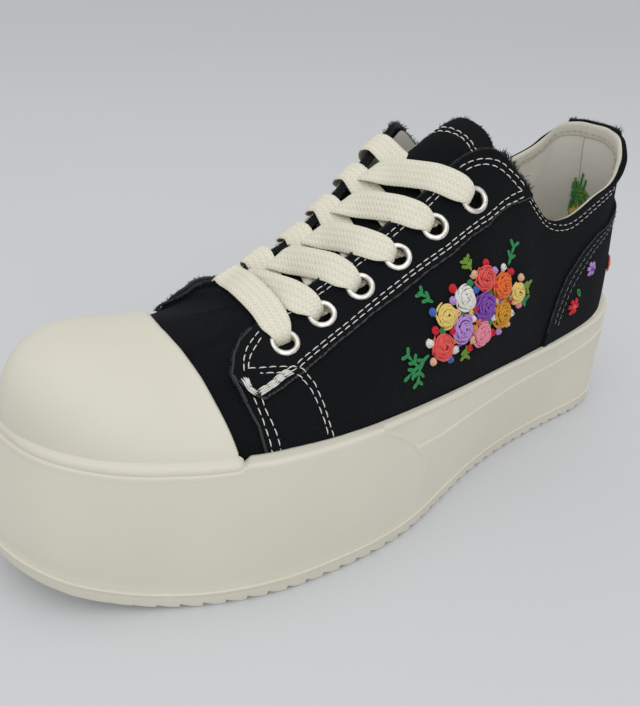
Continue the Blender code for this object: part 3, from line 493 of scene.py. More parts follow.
def weave(q, t):
    """Millimetres along and up the canvas."""
    return np.interp(q, WEAVE_ROWS, WEAVE_ALONG), np.interp(q, WEAVE_ROWS, WEAVE_UP) * t


def crease(q, t):
    q, t = np.broadcast_arrays(np.asarray(q, float), np.asarray(t, float))
    u, v = weave(q, t)
    total = np.zeros(q.shape)
    for q0, t0, q1, t1, width, height in CREASES:
        u0, v0 = weave(q0, t0)
        u1, v1 = weave(q1, t1)
        du, dv = u1 - u0, v1 - v0
        f = np.clip(((u - u0) * du + (v - v0) * dv) / (du * du + dv * dv), 0, 1)
        distance = np.hypot(u - u0 - f * du, v - v0 - f * dv)
        total += height * np.exp(-(distance / width) ** 2)
    return total * smooth_step((t - 0.1) / 0.15)


def cloth(q, t, offset):
    """A layer of the creased canvas."""
    return shell(q, t, np.asarray(offset, float) + crease(q, t))


def below_edge(q, distance):
    """Share of the way up that lies a distance under the trimmed opening edge."""
    speed = np.linalg.norm(skin(q, 1.0) - skin(q, 0.95), axis=-1) / 0.05
    return 1 - (distance + along(COLLAR_TRIM, q)) / speed


# Materials

class Shader:
    """A material with its main shader and short ways to add and join nodes."""

    def __init__(self, name, colour, roughness, **sockets):
        self.material = bpy.data.materials.new(name)
        self.material.use_nodes = True
        self.tree = self.material.node_tree
        self.main = self.tree.nodes["Principled BSDF"]
        self.main.inputs["Base Color"].default_value = (*colour, 1)
        self.main.inputs["Roughness"].default_value = roughness
        for socket, value in sockets.items():
            self.main.inputs[socket.replace("_", " ")].default_value = value

    def put(self, value, socket):
        if isinstance(value, bpy.types.NodeSocket):
            self.tree.links.new(value, socket)
        else:
            socket.default_value = value

    def node(self, kind, inputs):
        """A new node with its sockets joined to others or set to values."""
        node = self.tree.nodes.new(kind)
        for name, value in inputs.items():
            self.put(value, node.inputs[name])
        return node

    def math(self, operation, a, b=0.0):
        node = self.node("ShaderNodeMath", {0: a, 1: b})
        node.operation = operation
        return node.outputs[0]

    def total(self, a, a_share, b, b_share):
        return self.math("ADD", self.math("MULTIPLY", a, a_share), self.math("MULTIPLY", b, b_share))

    def mix(self, factor, a, b):
        node = self.node("ShaderNodeMix", {"Factor": factor})
        node.data_type = "RGBA"
        for socket, value in ((6, a), (7, b)):
            self.put((*value, 1) if isinstance(value, tuple) else value, node.inputs[socket])
        return node.outputs[2]

    def place(self):
        return self.node("ShaderNodeTexCoord", {}).outputs["Object"]

    def threads(self):
        node = self.node("ShaderNodeUVMap", {})
        node.uv_map = "weave"
        return node.outputs[0]

    def split(self, vector):
        return self.node("ShaderNodeSeparateXYZ", {0: vector}).outputs[:2]

    def noise(self, vector, scale, detail=3.0, rough=0.55):
        inputs = {"Vector": vector, "Scale": scale, "Detail": detail, "Roughness": rough}
        return self.node("ShaderNodeTexNoise", inputs).outputs[0]

    def stretch(self, value, low, high, start=0.0, end=1.0):
        inputs = dict(enumerate((value, low, high, start, end)))
        return self.node("ShaderNodeMapRange", inputs).outputs[0]

    def bump(self, height, distance):
        node = self.node("ShaderNodeBump", {"Strength": 1.0, "Distance": distance * MM, "Height": height})
        self.put(node.outputs[0], self.main.inputs["Normal"])

    def colour(self, value):
        self.put(value, self.main.inputs["Base Color"])

    def roughness(self, value):
        self.put(value, self.main.inputs["Roughness"])


def woven(shader, pitch):
    """Height of a plain weave over the thread map."""
    u, v = shader.split(shader.threads())
    turn = np.pi / pitch
    wave_u = shader.math("SINE", shader.math("MULTIPLY", u, turn))
    wave_v = shader.math("SINE", shader.math("MULTIPLY", v, turn))
    over = shader.math("GREATER_THAN", shader.math("MULTIPLY", wave_u, wave_v), 0.0)
    under = shader.math("SUBTRACT", 1.0, over)
    return shader.total(shader.math("ABSOLUTE", wave_u), over, shader.math("ABSOLUTE", wave_v), under)


def canvas_material(name, dark, light, pitch, lint, depth):
    shader = Shader(name, dark, 0.95, Sheen_Weight=0.02, Sheen_Roughness=0.5, Specular_IOR_Level=0.08)
    height = woven(shader, pitch)
    slub = shader.noise(shader.threads(), 1.1, 4.0, 0.7)
    # The weave's raised threads are painted lighter and its low threads darker: a painted highlight and
    # painted shade of the weave. The slub noise mixed in is the yarn's own uneven tone, and the specks are
    # lint.
    level = shader.total(height, 0.55, slub, 0.6)
    base = shader.mix(shader.stretch(level, 0.25, 1.05), dark, light)
    specks = shader.noise(shader.threads(), 0.8, 5.0, 0.8)
    shader.colour(shader.mix(shader.stretch(specks, 0.70, 0.80, 0.0, 0.35), base, lint))
    shader.bump(shader.math("ADD", height, shader.math("MULTIPLY", slub, 0.8)), depth)
    return shader.material


def rubber_material(name, light, dark, roughness, grain):
    shader = Shader(name, light, roughness, Specular_IOR_Level=0.4)
    broad = shader.noise(shader.place(), 18.0, 4.0)
    shader.colour(shader.mix(shader.stretch(broad, 0.35, 0.75), light, dark))
    fine = shader.noise(shader.place(), 1400.0, 3.0, 0.6)
    shader.roughness(shader.stretch(fine, 0.3, 0.7, roughness - 0.05, roughness + 0.08))
    shader.bump(fine, grain)
    return shader.material


def thread_material(name, colour, roughness=0.65, shade=0.72):
    shader = Shader(name, colour, roughness, Sheen_Weight=0.08, Sheen_Roughness=0.4, Specular_IOR_Level=0.3)
    fibre = shader.noise(shader.place(), 2600.0, 3.0, 0.7)
    deep = tuple(shade * c for c in colour)
    shader.colour(shader.mix(shader.stretch(fibre, 0.3, 0.65), deep, colour))
    shader.bump(fibre, 0.16)
    return shader.material


def lace_material():
    shader = Shader("lace cotton", (0.70, 0.665, 0.56), 0.85, Sheen_Weight=0.05, Specular_IOR_Level=0.25)
    across, length = shader.split(shader.threads())
    rib = shader.math("PINGPONG", across, LACE_RIB)
    turn = shader.math("MULTIPLY", shader.math("ADD", length, rib), 2 * np.pi / LACE_CHEVRON)
    chevron = shader.math("ADD", shader.math("MULTIPLY", shader.math("SINE", turn), 0.5), 0.5)
    height = shader.total(rib, 0.35, chevron, 0.58)
    wear = shader.noise(shader.threads(), 0.35, 4.0, 0.6)
    # Ridges of the rib and chevron are painted lighter and their grooves darker: a painted highlight and
    # painted shade of the weave. The wear noise mixed in is the lace's own uneven tone.
    level = shader.total(height, 0.75, wear, 0.35)
    shader.colour(shader.mix(shader.stretch(level, 0.10, 0.85), (0.625, 0.59, 0.48), (0.755, 0.73, 0.61)))
    shader.bump(height, 0.22)
    return shader.material


def metal_material():
    shader = Shader("nickel eyelet", (0.60, 0.58, 0.54), 0.2, Metallic=1.0)
    reflection_and_grain_cloud = shader.noise(shader.place(), 420.0, 3.0, 0.6)
    # The colour is clouded darker and lighter at random: painted reflection, standing in for the dark and
    # bright surroundings mirrored in the nickel. The same noise varies its roughness and grain.
    shader.colour(shader.mix(shader.stretch(reflection_and_grain_cloud, 0.35, 0.65), (0.54, 0.52, 0.48), (0.80, 0.78, 0.74)))
    shader.roughness(shader.stretch(reflection_and_grain_cloud, 0.3, 0.7, 0.14, 0.30))
    shader.bump(reflection_and_grain_cloud, 0.02)
    return shader.material


RUBBER = rubber_material("cream rubber", (0.648, 0.630, 0.533), (0.610, 0.590, 0.495), 0.48, 0.02)
RUBBER_STRIP = rubber_material("cream rubber strip", (0.665, 0.645, 0.546), (0.620, 0.596, 0.502), 0.60, 0.10)
RUBBER_TEXTURED = rubber_material("cream rubber sole", (0.655, 0.635, 0.538), (0.610, 0.584, 0.487), 0.55,
                                  0.03)
CANVAS = canvas_material("black canvas", (0.0010, 0.0016, 0.0022), (0.0095, 0.0115, 0.0140), 0.8,
                         (0.08, 0.08, 0.08), 0.22)
CANVAS_SOFT = canvas_material("black tongue canvas", (0.0014, 0.0018, 0.0022), (0.0100, 0.0115, 0.0135), 0.8,
                              (0.10, 0.10, 0.10), 0.22)
LINING = canvas_material("natural lining", (0.63, 0.61, 0.53), (0.80, 0.78, 0.70), 0.55,
                         (0.70, 0.69, 0.64), 0.12)
RIM_BEIGE = canvas_material("beige rim", (0.54, 0.51, 0.43), (0.72, 0.69, 0.60), 0.60,
                            (0.76, 0.74, 0.68), 0.12)
FOOTBED = canvas_material("footbed cloth", (0.38, 0.36, 0.31), (0.55, 0.53, 0.46), 0.7,
                          (0.62, 0.60, 0.55), 0.14)
LACE = lace_material()
METAL = metal_material()
WHITE_THREAD = thread_material("white thread", (0.74, 0.73, 0.68), 0.7, 0.80)
GREY_THREAD = thread_material("grey thread", (0.26, 0.26, 0.265), 0.8)
BLACK_THREAD = thread_material("black thread", (0.016, 0.016, 0.017), 0.85)
RAW_EDGE = thread_material("raw cotton edge", (0.05, 0.051, 0.053), 0.9)
BROWN_THREAD = thread_material("brown thread", (0.46, 0.38, 0.30), 0.7)
FLOSS_COLOURS = {
    "orange": (0.84, 0.17, 0.03), "coral": (0.8, 0.1, 0.09), "white": (0.78, 0.77, 0.72),
    "pale yellow": (0.82, 0.62, 0.19), "purple": (0.22, 0.07, 0.43), "lilac": (0.5, 0.28, 0.66),
    "pink": (0.82, 0.28, 0.36), "ochre": (0.64, 0.31, 0.02), "red": (0.64, 0.012, 0.03),
    "peach": (0.80, 0.46, 0.30), "blue": (0.05, 0.14, 0.48), "green": (0.025, 0.26, 0.08),
    "olive": (0.17, 0.3, 0.03),
}
FLOSS = [thread_material(name + " floss", colour) for name, colour in FLOSS_COLOURS.items()]
FLOSS_KIND = {name: kind for kind, name in enumerate(FLOSS_COLOURS)}


# Meshes

def add_mesh(name, points, faces, materials, uv=None, kinds=None):
    mesh = bpy.data.meshes.new(name)
    mesh.from_pydata((np.asarray(points) * MM).tolist(), [], np.asarray(faces).tolist())
    mesh.polygons.foreach_set("use_smooth", np.ones(len(mesh.polygons), bool))
    for material in materials:
        mesh.materials.append(material)
    if kinds is not None:
        mesh.polygons.foreach_set("material_index", np.asarray(kinds, np.int32))
    if uv is not None:
        layer = mesh.uv_layers.new(name="weave")
        corner = np.zeros(len(mesh.loops), np.int32)
        mesh.loops.foreach_get("vertex_index", corner)
        layer.data.foreach_set("uv", np.asarray(uv, np.float32)[corner].ravel())
    mesh.update()
    piece = bpy.data.objects.new(name, mesh)
    bpy.context.scene.collection.objects.link(piece)
    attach(piece, "root")
    return piece


def grid_faces(columns, rows, closed=False):
    """Quads of a grid of points whose outer side looks along the skin's normal."""
    number = np.arange(columns * rows).reshape(columns, rows)
    if closed:
        number = np.concatenate([number, number[:1]])
    a, b, c, d = number[:-1, :-1], number[1:, :-1], number[1:, 1:], number[:-1, 1:]
    return np.stack([a, d, c, b], -1).reshape(-1, 4)


def tube_faces(count, sides):
    """Quads of a tube through rings of points."""
    number = np.arange(count * sides).reshape(count, sides)
    over = np.roll(number, -1, 1)
    return np.stack([number[:-1], number[1:], over[1:], over[:-1]], -1).reshape(-1, 4)


def add_grid(name, grid, material, uv=None, flip=False):
    """A sheet through a grid of points, with its thread map on the same grid."""
    faces = grid_faces(*grid.shape[:2])
    if flip:
        faces = faces[:, ::-1]
    if uv is not None:
        uv = uv.reshape(-1, 2)
    return add_mesh(name, grid.reshape(-1, 3), faces, [material], uv)


def sheet_map(length, girth):
    """Thread map of a sheet, from the distances along and across it."""
    return np.stack(np.broadcast_arrays(length[:, None], girth[None, :]), -1)


def rimmed(grid):
    """A grid with its outermost rows and columns repeated."""
    return np.pad(grid, ((1, 1), (1, 1), (0, 0)), mode="edge")


def bar_faces(start, count):
    """Quads across a closed ring of points."""
    half = count // 2
    faces = [(start + i, start + i + 1, start + count - i - 1, start + count - i) for i in range(1, half - 1)]
    return np.array(faces)


def slab(rings, floor):
    """Points and faces of a wall of closed rings, and the faces of the floor that closes it."""
    count = len(floor)
    points = np.concatenate([np.stack(rings, 1).reshape(-1, 3), floor])
    return points, grid_faces(count, len(rings), True), bar_faces(count * len(rings), count)


def open_at(points, faces, holes):
    """Leaves out the faces inside round holes: (centre, axis) each."""
    middle = points[faces].mean(1)
    keep = np.ones(len(faces), bool)
    for centre, axis in holes:
        away = middle - centre
        deep = away @ axis
        radius = np.linalg.norm(away - deep[:, None] * axis, axis=1)
        keep &= (radius > EYELET_CUT) | (np.abs(deep) > 7)
    return faces[keep]


def panel(name, q, t, face, low, material, holes=()):
    """A canvas sheet on the skin whose rim drops to a lower layer."""
    q, t = np.broadcast_arrays(q, t)
    height = np.broadcast_to(face, q.shape)
    q, t = np.pad(q, 1, mode="edge"), np.pad(t, 1, mode="edge")
    height = np.pad(height, 1, constant_values=low)
    grid = cloth(q, t, height)
    points = grid.reshape(-1, 3)
    faces = grid_faces(*q.shape)
    if holes:
        faces = open_at(points, faces, holes)
    uv = np.stack(weave(q, t), -1).reshape(-1, 2)
    return add_mesh(name, points, faces, [material], uv)


def edged(count, tight=0.006):
    """Shares from 0 to 1 with a close pair at both ends."""
    return np.concatenate([[0.0], np.linspace(tight, 1 - tight, count), [1.0]])


def smooth_curve(points, count):
    """Points on a smooth open curve through the given points."""
    points = np.asarray(points, float)
    slope = np.gradient(points, axis=0)
    place = np.linspace(0, len(points) - 1.0001, count)
    i = place.astype(int)
    f = (place - i)[:, None]
    return hermite(f, points[i], points[i + 1], slope[i], slope[i + 1])


def chord_curve(points, spacing):
    """Evenly spaced places on a smooth curve through unevenly spaced points, as rows of positions."""
    points = np.asarray(points, float)
    step = np.linalg.norm(np.diff(points[:, :3], axis=0), axis=1) ** 0.75
    knot = np.concatenate([[0.0], np.cumsum(step)])
    slope = np.zeros_like(points)
    rate = np.diff(points, axis=0) / step[:, None]
    slope[0], slope[-1] = rate[0], rate[-1]
    slope[1:-1] = (rate[:-1] * step[1:, None] + rate[1:] * step[:-1, None]) / (step[1:] + step[:-1])[:, None]
    place = np.linspace(0, knot[-1], 40 * len(points))
    i = np.clip(np.searchsorted(knot, place, side="right") - 1, 0, len(step) - 1)
    f = ((place - knot[i]) / step[i])[:, None]
    h = step[i][:, None]
    curve = hermite(f, points[i], points[i + 1], h * slope[i], h * slope[i + 1])
    length = travel(curve[:, :3])
    even = np.linspace(0, length[-1], int(length[-1] / spacing))
    return np.stack([np.interp(even, length, curve[:, j]) for j in range(points.shape[1])], 1)


class Batch:
    """Many small threads gathered into one mesh."""

    def __init__(self):
        self.points = []
        self.faces = []
        self.kinds = []
        self.count = 0

    def tube(self, path, radius, up, sides=6, kind=0, flat=1.0):
        tangent = np.gradient(path, axis=0)
        side = unit(np.cross(tangent, up))
        face = unit(np.cross(side, tangent))
        angle = np.arange(sides) * 2 * np.pi / sides
        radius = np.broadcast_to(radius, len(path))[:, None, None]
        cosine, sine = np.cos(angle)[None, :, None], np.sin(angle)[None, :, None]
        grid = path[:, None] + (cosine * side[:, None] + flat * sine * face[:, None]) * radius
        faces = tube_faces(len(path), sides) + self.count
        self.points.append(grid.reshape(-1, 3))
        self.faces.append(faces)
        self.kinds.append(np.full(len(faces), kind))
        self.count += grid.shape[0] * sides

    def build(self, name, materials):
        return add_mesh(name, np.concatenate(self.points), np.concatenate(self.faces), materials,
                        kinds=np.concatenate(self.kinds))


# Rubber

def make_outsole():
    """Saw-tooth slab: the ring's points sit at the same s on both sides, so bars run straight across."""
    first = int(np.ceil((HEEL_END + 4) / TOOTH_PITCH))
    last = int(np.floor((TOE_END - 4) / TOOTH_PITCH))
    s, depth = [], []
    for k in range(first, last):
        for step in TOOTH_STEPS:
            s.append(k * TOOTH_PITCH + step)
            depth.append(TOOTH_DEPTH * max(0.0, (step - TOOTH_LAND) / (TOOTH_STEPS[-1] - TOOTH_LAND)) ** 1.4)
    start, end = s[0], last * TOOTH_PITCH
    heel = HEEL_END + (start - HEEL_END - 0.2) * np.linspace(0.02, 1, 12) ** 2
    toe = TOE_END - (TOE_END - end) * np.linspace(1, 0.02, 12) ** 2
    s = np.concatenate([heel, s, toe])
    depth = np.concatenate([np.zeros(12), depth, np.zeros(12)])
    depth = depth * (1 - 0.85 * smooth_step((s - TOOTH_FADE[0]) / (TOOTH_FADE[1] - TOOTH_FADE[0])))
    dense = np.linspace(0, TOE_ROW, 3000)
    sides = []
    for track in (dense, RING - dense):
        line = LOW.at(track)
        sides.append(shoe_point(np.interp(s, s_of(line), x_of(line)), s, 0))
    ring = np.concatenate([sides[0], sides[1][::-1]])
    out = level_out(np.roll(ring, -1, 0) - np.roll(ring, 1, 0))
    rise = ground_rise(s)
    rise, depth = np.concatenate([rise, rise[::-1]]), np.concatenate([depth, depth[::-1]])
    low = rise + depth
    top = rise + OUTSOLE_THICK
    levels = [(move, low + up) for move, up in OUTSOLE_FOOT]
    levels += [(OUTSOLE_PROUD * share, top - down) for share, down in OUTSOLE_EDGE]
    levels += [(-0.2, top), (-1.6, top + 0.1)]
    rings = []
    for move, z in levels:
        level = ring + out * move
        level[:, 2] = z
        rings.append(level)
    points, side_faces, floor_faces = slab(rings, rings[0])
    piece = add_mesh("outsole_ripple", points, np.concatenate([side_faces, floor_faces]), [RUBBER_TEXTURED])
    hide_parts("outsole")


def wall_point(row, z_share, z, ledge):
    """The sole's outer wall: between its two outlines, with bumper, strip and bulge."""
    low, top = LOW.at(row), TOP.at(row)
    point = low + (top - low) * z_share[:, None]
    tangent = TOP.at(row + 0.05) - TOP.at(row - 0.05)
    out = level_out(tangent)
    s = s_of(point)
    ahead = smooth_step((s - along(BUMPER_END, z)) / BUMPER_EDGE_WIDTH + 0.5)
    fade = smooth_step((z - BUMPER_FADE[0]) / (BUMPER_FADE[1] - BUMPER_FADE[0]))
    ridge = BUMPER_RIDGE * np.exp(-((s - along(BUMPER_END, z)) / BUMPER_RIDGE_WIDTH) ** 2)
    move = fade * (BUMPER_PROUD * (2 * ahead - 1) + ridge) - STRIP_SET_BACK * ledge * (1 - ahead)
    move = move + WALL_BULGE * np.sin(np.pi * z_share) * smooth_step((s - BULGE_START) / BULGE_FADE)
    point = point + out * (move * smooth_step(z_share / 0.15))[:, None]
    point[:, 2] = z
    return point


def sole_columns():
    """Rows round the foot for the midsole, closer together near the bumper's end."""
    dense = np.linspace(0, TOE_ROW, 4000)
    line = TOP.at(sole_row(dense))
    s = s_of(line)
    weight = 1.0 + 2.2 * np.exp(-((s - STRIP_FRONT) / 18) ** 4)
    length = np.concatenate([[0.0], np.cumsum(np.linalg.norm(np.diff(line, axis=0), axis=1) * weight[1:])])
    side = np.interp(np.linspace(0, length[-1], 360), length, dense)
    return np.concatenate([side, RING - side[-2:0:-1]])


def make_midsole():
    q = sole_columns()
    row = sole_row(q)
    s_low, s_top = s_of(LOW.at(row)), s_of(TOP.at(row))
    z_low = OUTSOLE_THICK + ground_rise(s_low) - 0.1
    z_top = along(RIM_HEIGHT, s_top)
    z_step = along(STEP_HEIGHT, s_top)
    levels = [(z_low + share * (z_step - STRIP_EDGE_FOOT - z_low), 0.0) for share in np.linspace(0, 1, 22)]
    levels += [(z_step + up, ledge) for up, ledge in STRIP_EDGE]
    body = z_top - LIP_ROUND - z_step - STRIP_EDGE_TOP
    strip = [(share, 1.0) for share in np.linspace(0.05, 0.87, 18)] + [(0.93, 0.85), (1.0, 0.55)]
    levels += [(z_step + STRIP_EDGE_TOP + body * share, ledge) for share, ledge in strip]
    rings = []
    for z, ledge in levels:
        rings.append(wall_point(row, (z - z_low) / (z_top - z_low), z, ledge))
    inside = shell(q, share_at_height(q, z_top), RECESS_OUT)
    edge = rings[-1].copy()
    towards = inside - edge
    towards[:, 2] = 0
    reach = np.linalg.norm(towards, axis=1)[:, None]
    towards = unit(towards)
    lip_round = LIP_ROUND + (TOE_LIP_ROUND - LIP_ROUND) * smooth_step((s_top - 208) / 8)
    for angle in np.linspace(0.2, 1.0, 6) * np.pi / 2:
        ring = edge + towards * ((1 - np.cos(angle)) * lip_round)[:, None]
        ring[:, 2] = edge[:, 2] + np.sin(angle) * LIP_ROUND
        rings.append(ring)
    for share in (0.4, 0.8, 1.0):
        ring = edge + towards * (lip_round[:, None] + (reach - lip_round[:, None]) * share)
        ring[:, 2] = z_top
        rings.append(ring)
    bed = along(BED_HEIGHT, s_of(GUIDES[0].at(q)))
    for height in ((bed + z_top) / 2, bed):
        ring = shell(q, share_at_height(q, height), RECESS_OUT)
        ring[:, 2] = height
        rings.append(ring)
    points, side_faces, floor_faces = slab(rings, rings[-1])
    kinds = np.zeros((len(q), len(rings) - 1), int)
    kinds[s_top < STRIP_FRONT, STRIP_RINGS[0]:STRIP_RINGS[1]] = 1
    kinds = np.concatenate([kinds.ravel(), np.zeros(len(floor_faces), int)])
    faces = np.concatenate([side_faces, floor_faces])
    piece = add_mesh("platform", points, faces, [RUBBER, RUBBER_STRIP], kinds=kinds)
    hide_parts("midsole")


def make_bead():
    """A low welt that fills the rim between the wall's edge and the cap."""
    q = np.linspace(CAP_END_ROW - BEAD_OVERRUN, RING - CAP_END_ROW + BEAD_OVERRUN, 280)
    floor = lip_height(np.clip(q, CAP_END_ROW + 0.3, RING - CAP_END_ROW - 0.3)) - 0.3
    wall = TOP.at(sole_row(q))
    line = skin(q, share_at_height(q, floor + 2))
    length = travel(line)
    near_end = np.minimum(length, length[-1] - length)
    full = np.sqrt(1 - (1 - np.clip(near_end / BEAD_END_ROUND, 0, 1)) ** 2)
    rings = []
    for out, up in BEAD_PROFILE:
        z = floor + up * BEAD_HEIGHT * (0.3 + 0.7 * full)
        share = share_at_height(q, z)
        side = skin_normal(q, share)
        side[:, 2] = 0
        side = unit(side)
        foot = skin(q, share) + side * (CAP_FACE - 0.1)
        reach = np.clip(((wall - foot) * side).sum(1) - BEAD_INSET, 0.8, 4.5)
        point = foot + side * (out * reach * (0.25 + 0.75 * full))[:, None]
        point[:, 2] = z
        rings.append(point)
    piece = add_grid("toe_welt", np.stack(rings, 1), RUBBER)
    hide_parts("toe_bead")


def make_cap():
    q = CAP_END_ROW + edged(230, 0.002) * (RING - 2 * CAP_END_ROW)
    base = share_at_height(q, lip_height(q) + GAP)
    top = np.maximum(cap_share(q), base + 0.04)
    v = np.concatenate([np.linspace(0, 0.96, 46), [0.975, 0.986, 0.994, 1.0]])
    t = base[:, None] + v[None, :] * (top - base)[:, None]
    q = np.broadcast_to(q[:, None], t.shape)
    span = np.linalg.norm(skin(q[:, 0], top) - skin(q[:, 0], base), axis=1)[:, None]
    from_edge = (1 - v)[None, :] * span
    height = CAP_FACE - CAP_EDGE_DROP * (1 - np.clip(from_edge / CAP_EDGE_ROUND, 0, 1)) ** 2
    flat = skin(q, t)
    away = np.hypot(x_of(flat) - CAP_SHOULDER[0], s_of(flat) - CAP_SHOULDER[1])
    shoulder = CAP_SHOULDER[3] * np.exp(-(away / CAP_SHOULDER[2]) ** 2)
    height = height + shoulder * smooth_step((v[None, :] - 0.1) / 0.3)
    q, t = np.pad(q, 1, mode="edge"), np.pad(t, 1, mode="edge")
    height = np.pad(height, 1, constant_values=0.1)
    piece = add_grid("rubber_cap", shell(q, t, height), RUBBER)
    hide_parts("toe_cap")


# Canvas

def eyelet_places():
    """Row and share for each lateral eyelet, lowest first; the medial row is its negative."""
    places = []
    guess = (13.8, 0.8)
    for s, half in EYELETS:
        q, t = find_on_skin(s, half, 0, *guess)
        guess = (q - 0.6, t)
        places.append((q, t))
    return places


PLACES = eyelet_places()
SIDES = (1, -1)
# Centre and axis of each eyelet hole, by side
HOLES = {side: [(cloth(side * q, t, STAY_FACE), skin_normal(side * q, t)) for q, t in PLACES]
         for side in SIDES}
ALL_HOLES = HOLES[1] + HOLES[-1]


def make_vamp():
    q = np.linspace(VAMP_START, RING - VAMP_START, 260)[:, None]
    t = np.linspace(0.02, 1.0, 70)[None, :]
    side = np.where(q > TOE_ROW, q - RING, q)
    grid = shell(q, t, crease(side, t))
    x = x_of(grid)
    uv = np.stack([s_of(grid), x + np.sign(x) * 0.55 * (86 - grid[..., 2])], -1)
    piece = add_grid("vamp", grid, CANVAS, uv)
    make_throat_front()


def make_throat_front():
    """The tongue's front end, sewn in level with the vamp's edge."""
    row = np.linspace(TOE_ROW, THROAT_FRONT_END, 70)[:, None]
    v = np.linspace(0, 1, 24)[None, :]
    row, v = np.broadcast_arrays(row, v)
    lateral, medial = [shell(side * row, 1.0, crease(side * row, 1.0) - 0.1) for side in SIDES]
    grid = lateral + v[..., None] * (medial - lateral)
    sink = THROAT_FRONT_SINK * smooth_step((THROAT_FRONT_END + 0.7 - row) / 0.7)
    grid[..., 2] += THROAT_FRONT_DOME * np.sin(np.pi * v) * smooth_step((TOE_ROW - row) / 4) - sink
    uv = np.stack([s_of(grid), x_of(grid)], -1)
    piece = add_grid("throat_front", grid, CANVAS, uv, flip=True)


def make_quarters():
    """One sheet from the lateral front edge round the heel to the medial front edge."""
    front = QUARTER_FRONT[0][1]
    side = (2 * edged(430, 0.0008) - 1) * front
    t = edged(70, 0.003)
    t = np.broadcast_to(t[None, :], (len(side), len(t)))
    t = t * below_edge(side, 0.0)[:, None]
    q = bent(side[:, None], t)
    piece = panel("quarters", q, t, QUARTER_FACE, 0.0, CANVAS, ALL_HOLES)
    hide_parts("upper")


def make_lining():
    q = np.linspace(-LINING_END, LINING_END, 300)[:, None]
    t = np.linspace(0.0, 0.995, 60)[None, :]
    q, t = np.broadcast_arrays(q, t)
    t = t * below_edge(q, 0.0)
    points = cloth(q, t, LINING_DEPTH).reshape(-1, 3)
    faces = open_at(points, grid_faces(*q.shape), ALL_HOLES)
    uv = np.stack(weave(q, t), -1).reshape(-1, 2)
    add_mesh("lining", points, faces, [LINING], uv)


def edge_rise(q):
    """The way up to the opening edge."""
    return unit(skin(q, 1.0) - skin(q, 0.97))


def rim_sweep(name, q, rows, material, thicker=0.0):
    """A strip along the opening edge with a given profile."""
    lines = []
    for distance, offset, lift in rows:
        if offset > 0:
            offset = offset * (1 + thicker)
        lines.append(cloth(q, below_edge(q, distance), offset) + edge_rise(q) * lift)
    grid = np.stack(lines, 1)
    uv = sheet_map(np.interp(q, WEAVE_ROWS, WEAVE_ALONG), travel(grid[0]))
    return add_grid(name, grid, material, uv)


def make_rims():
    q = np.linspace(-COLLAR_END, COLLAR_END, 260)
    heel = COLLAR_HEEL_SWELL * smooth_step((4.4 - np.abs(q)) / 1.2)
    rim_sweep("collar_fold", q, COLLAR_FOLD, CANVAS, heel)
    rim_sweep("collar_inner_strip", q, COLLAR_STRIP, RIM_BEIGE)
    tab = np.linspace(-TAB_END, TAB_END, 60)
    over = TAB_FOOT + [(distance, TAB_FACE, 0) for distance in np.linspace(22, 1.5, 9)] + TAB_TOP
    piece = rim_sweep("heel_strip", tab, over, CANVAS)
    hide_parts("heel_tab")


def raw(side, size, seed):
    """Small unevenness of a cut edge."""
    return size * (np.sin(9.1 * side + seed) + 0.7 * np.sin(23.7 * side + 2.1 * seed)
                   + 0.5 * np.sin(61 * side))


def make_stays():
    for sign, name in ((1, "lateral"), (-1, "medial")):
        side = STAY_START + edged(150, 0.002) * (QUARTER_FRONT[0][1] - 0.02 - STAY_START)
        low = along(STAY_EDGE, side) + raw(side, 0.0016, sign)
        v = edged(30, 0.008)
        t = low[:, None] + v[None, :] * (1 - low)[:, None]
        q = bent(side[:, None], t) + raw(t * 14, 0.004, sign) * smooth_step((side[:, None] - 14.6) / 0.5)
        piece = panel("eyestay_panel_" + name, sign * q, t, STAY_FACE, -0.4, CANVAS, HOLES[sign])
        if sign > 0:
            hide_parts("eyestay_lateral")
        else:
            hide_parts("eyestay_medial")


def over_throat(row, distance, offset):
    """A place beyond the medial throat edge, bending over towards the tongue."""
    rise = unit(skin(-row, 1.0) - skin(-row, 0.95))
    distance = np.asarray(distance, float)[..., None]
    bend = np.clip(distance / LIP_BEND, 0, 1)
    return cloth(-row, 1.0, offset) + distance * unit(rise * (1 - bend) * 0.7 + LIP_LEVEL * (0.3 + bend))


def lip_reach(row):
    """How far the medial eyestay's uneven edge reaches over the throat."""
    return along(STAY_LIP, row) + raw(row, 0.10, 2)


def make_lip():
    """The medial eyestay's edge, folded over the side of the tongue."""
    q = np.linspace(*LIP_ROWS, 160)
    lines = [over_throat(q, lip_reach(q) * share, STAY_FACE - drop) for share, drop in LIP_PROFILE]
    grid = np.stack(lines, 1)
    uv = sheet_map(np.interp(-q, WEAVE_ROWS, WEAVE_ALONG), travel(grid[60]))
    piece = add_grid("eyestay_lip_medial", grid, CANVAS, uv, flip=True)


def make_counter():
    side = (2 * edged(220, 0.0015) - 1) * COUNTER_END
    low = share_at_height(side, lip_height(side) - 1.0)
    high = np.maximum(along(COUNTER_EDGE, np.abs(side)), low + 0.01)
    v = edged(44, 0.006)
    t = low[:, None] + v[None, :] * (high - low)[:, None]
    q = np.broadcast_to(side[:, None], t.shape)
    to_top = (high[:, None] - t) * np.interp(np.abs(side), WEAVE_ROWS, WEAVE_UP)[:, None]
    to_front = (COUNTER_END - np.abs(q)) * 14
    rim = np.minimum(to_top, to_front + 0.8)
    fold = COUNTER_FOLD[0] * np.exp(-((rim - COUNTER_FOLD[1]) / COUNTER_FOLD[2]) ** 2)
    piece = panel("heel_counter_panel", q, t, COUNTER_FACE + fold, 0.9, CANVAS)
    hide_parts("heel_counter")


def crown(a, a_lead, b, b_lead, count, dome):
    """Points on an arch between two places that leaves them in given directions."""
    reach = dome * np.linalg.norm(b - a)
    t = np.linspace(0, 1, count + 2)[1:-1, None]
    c, d = a + a_lead * reach, b + b_lead * reach
    return bezier(t, a, c, d, b)


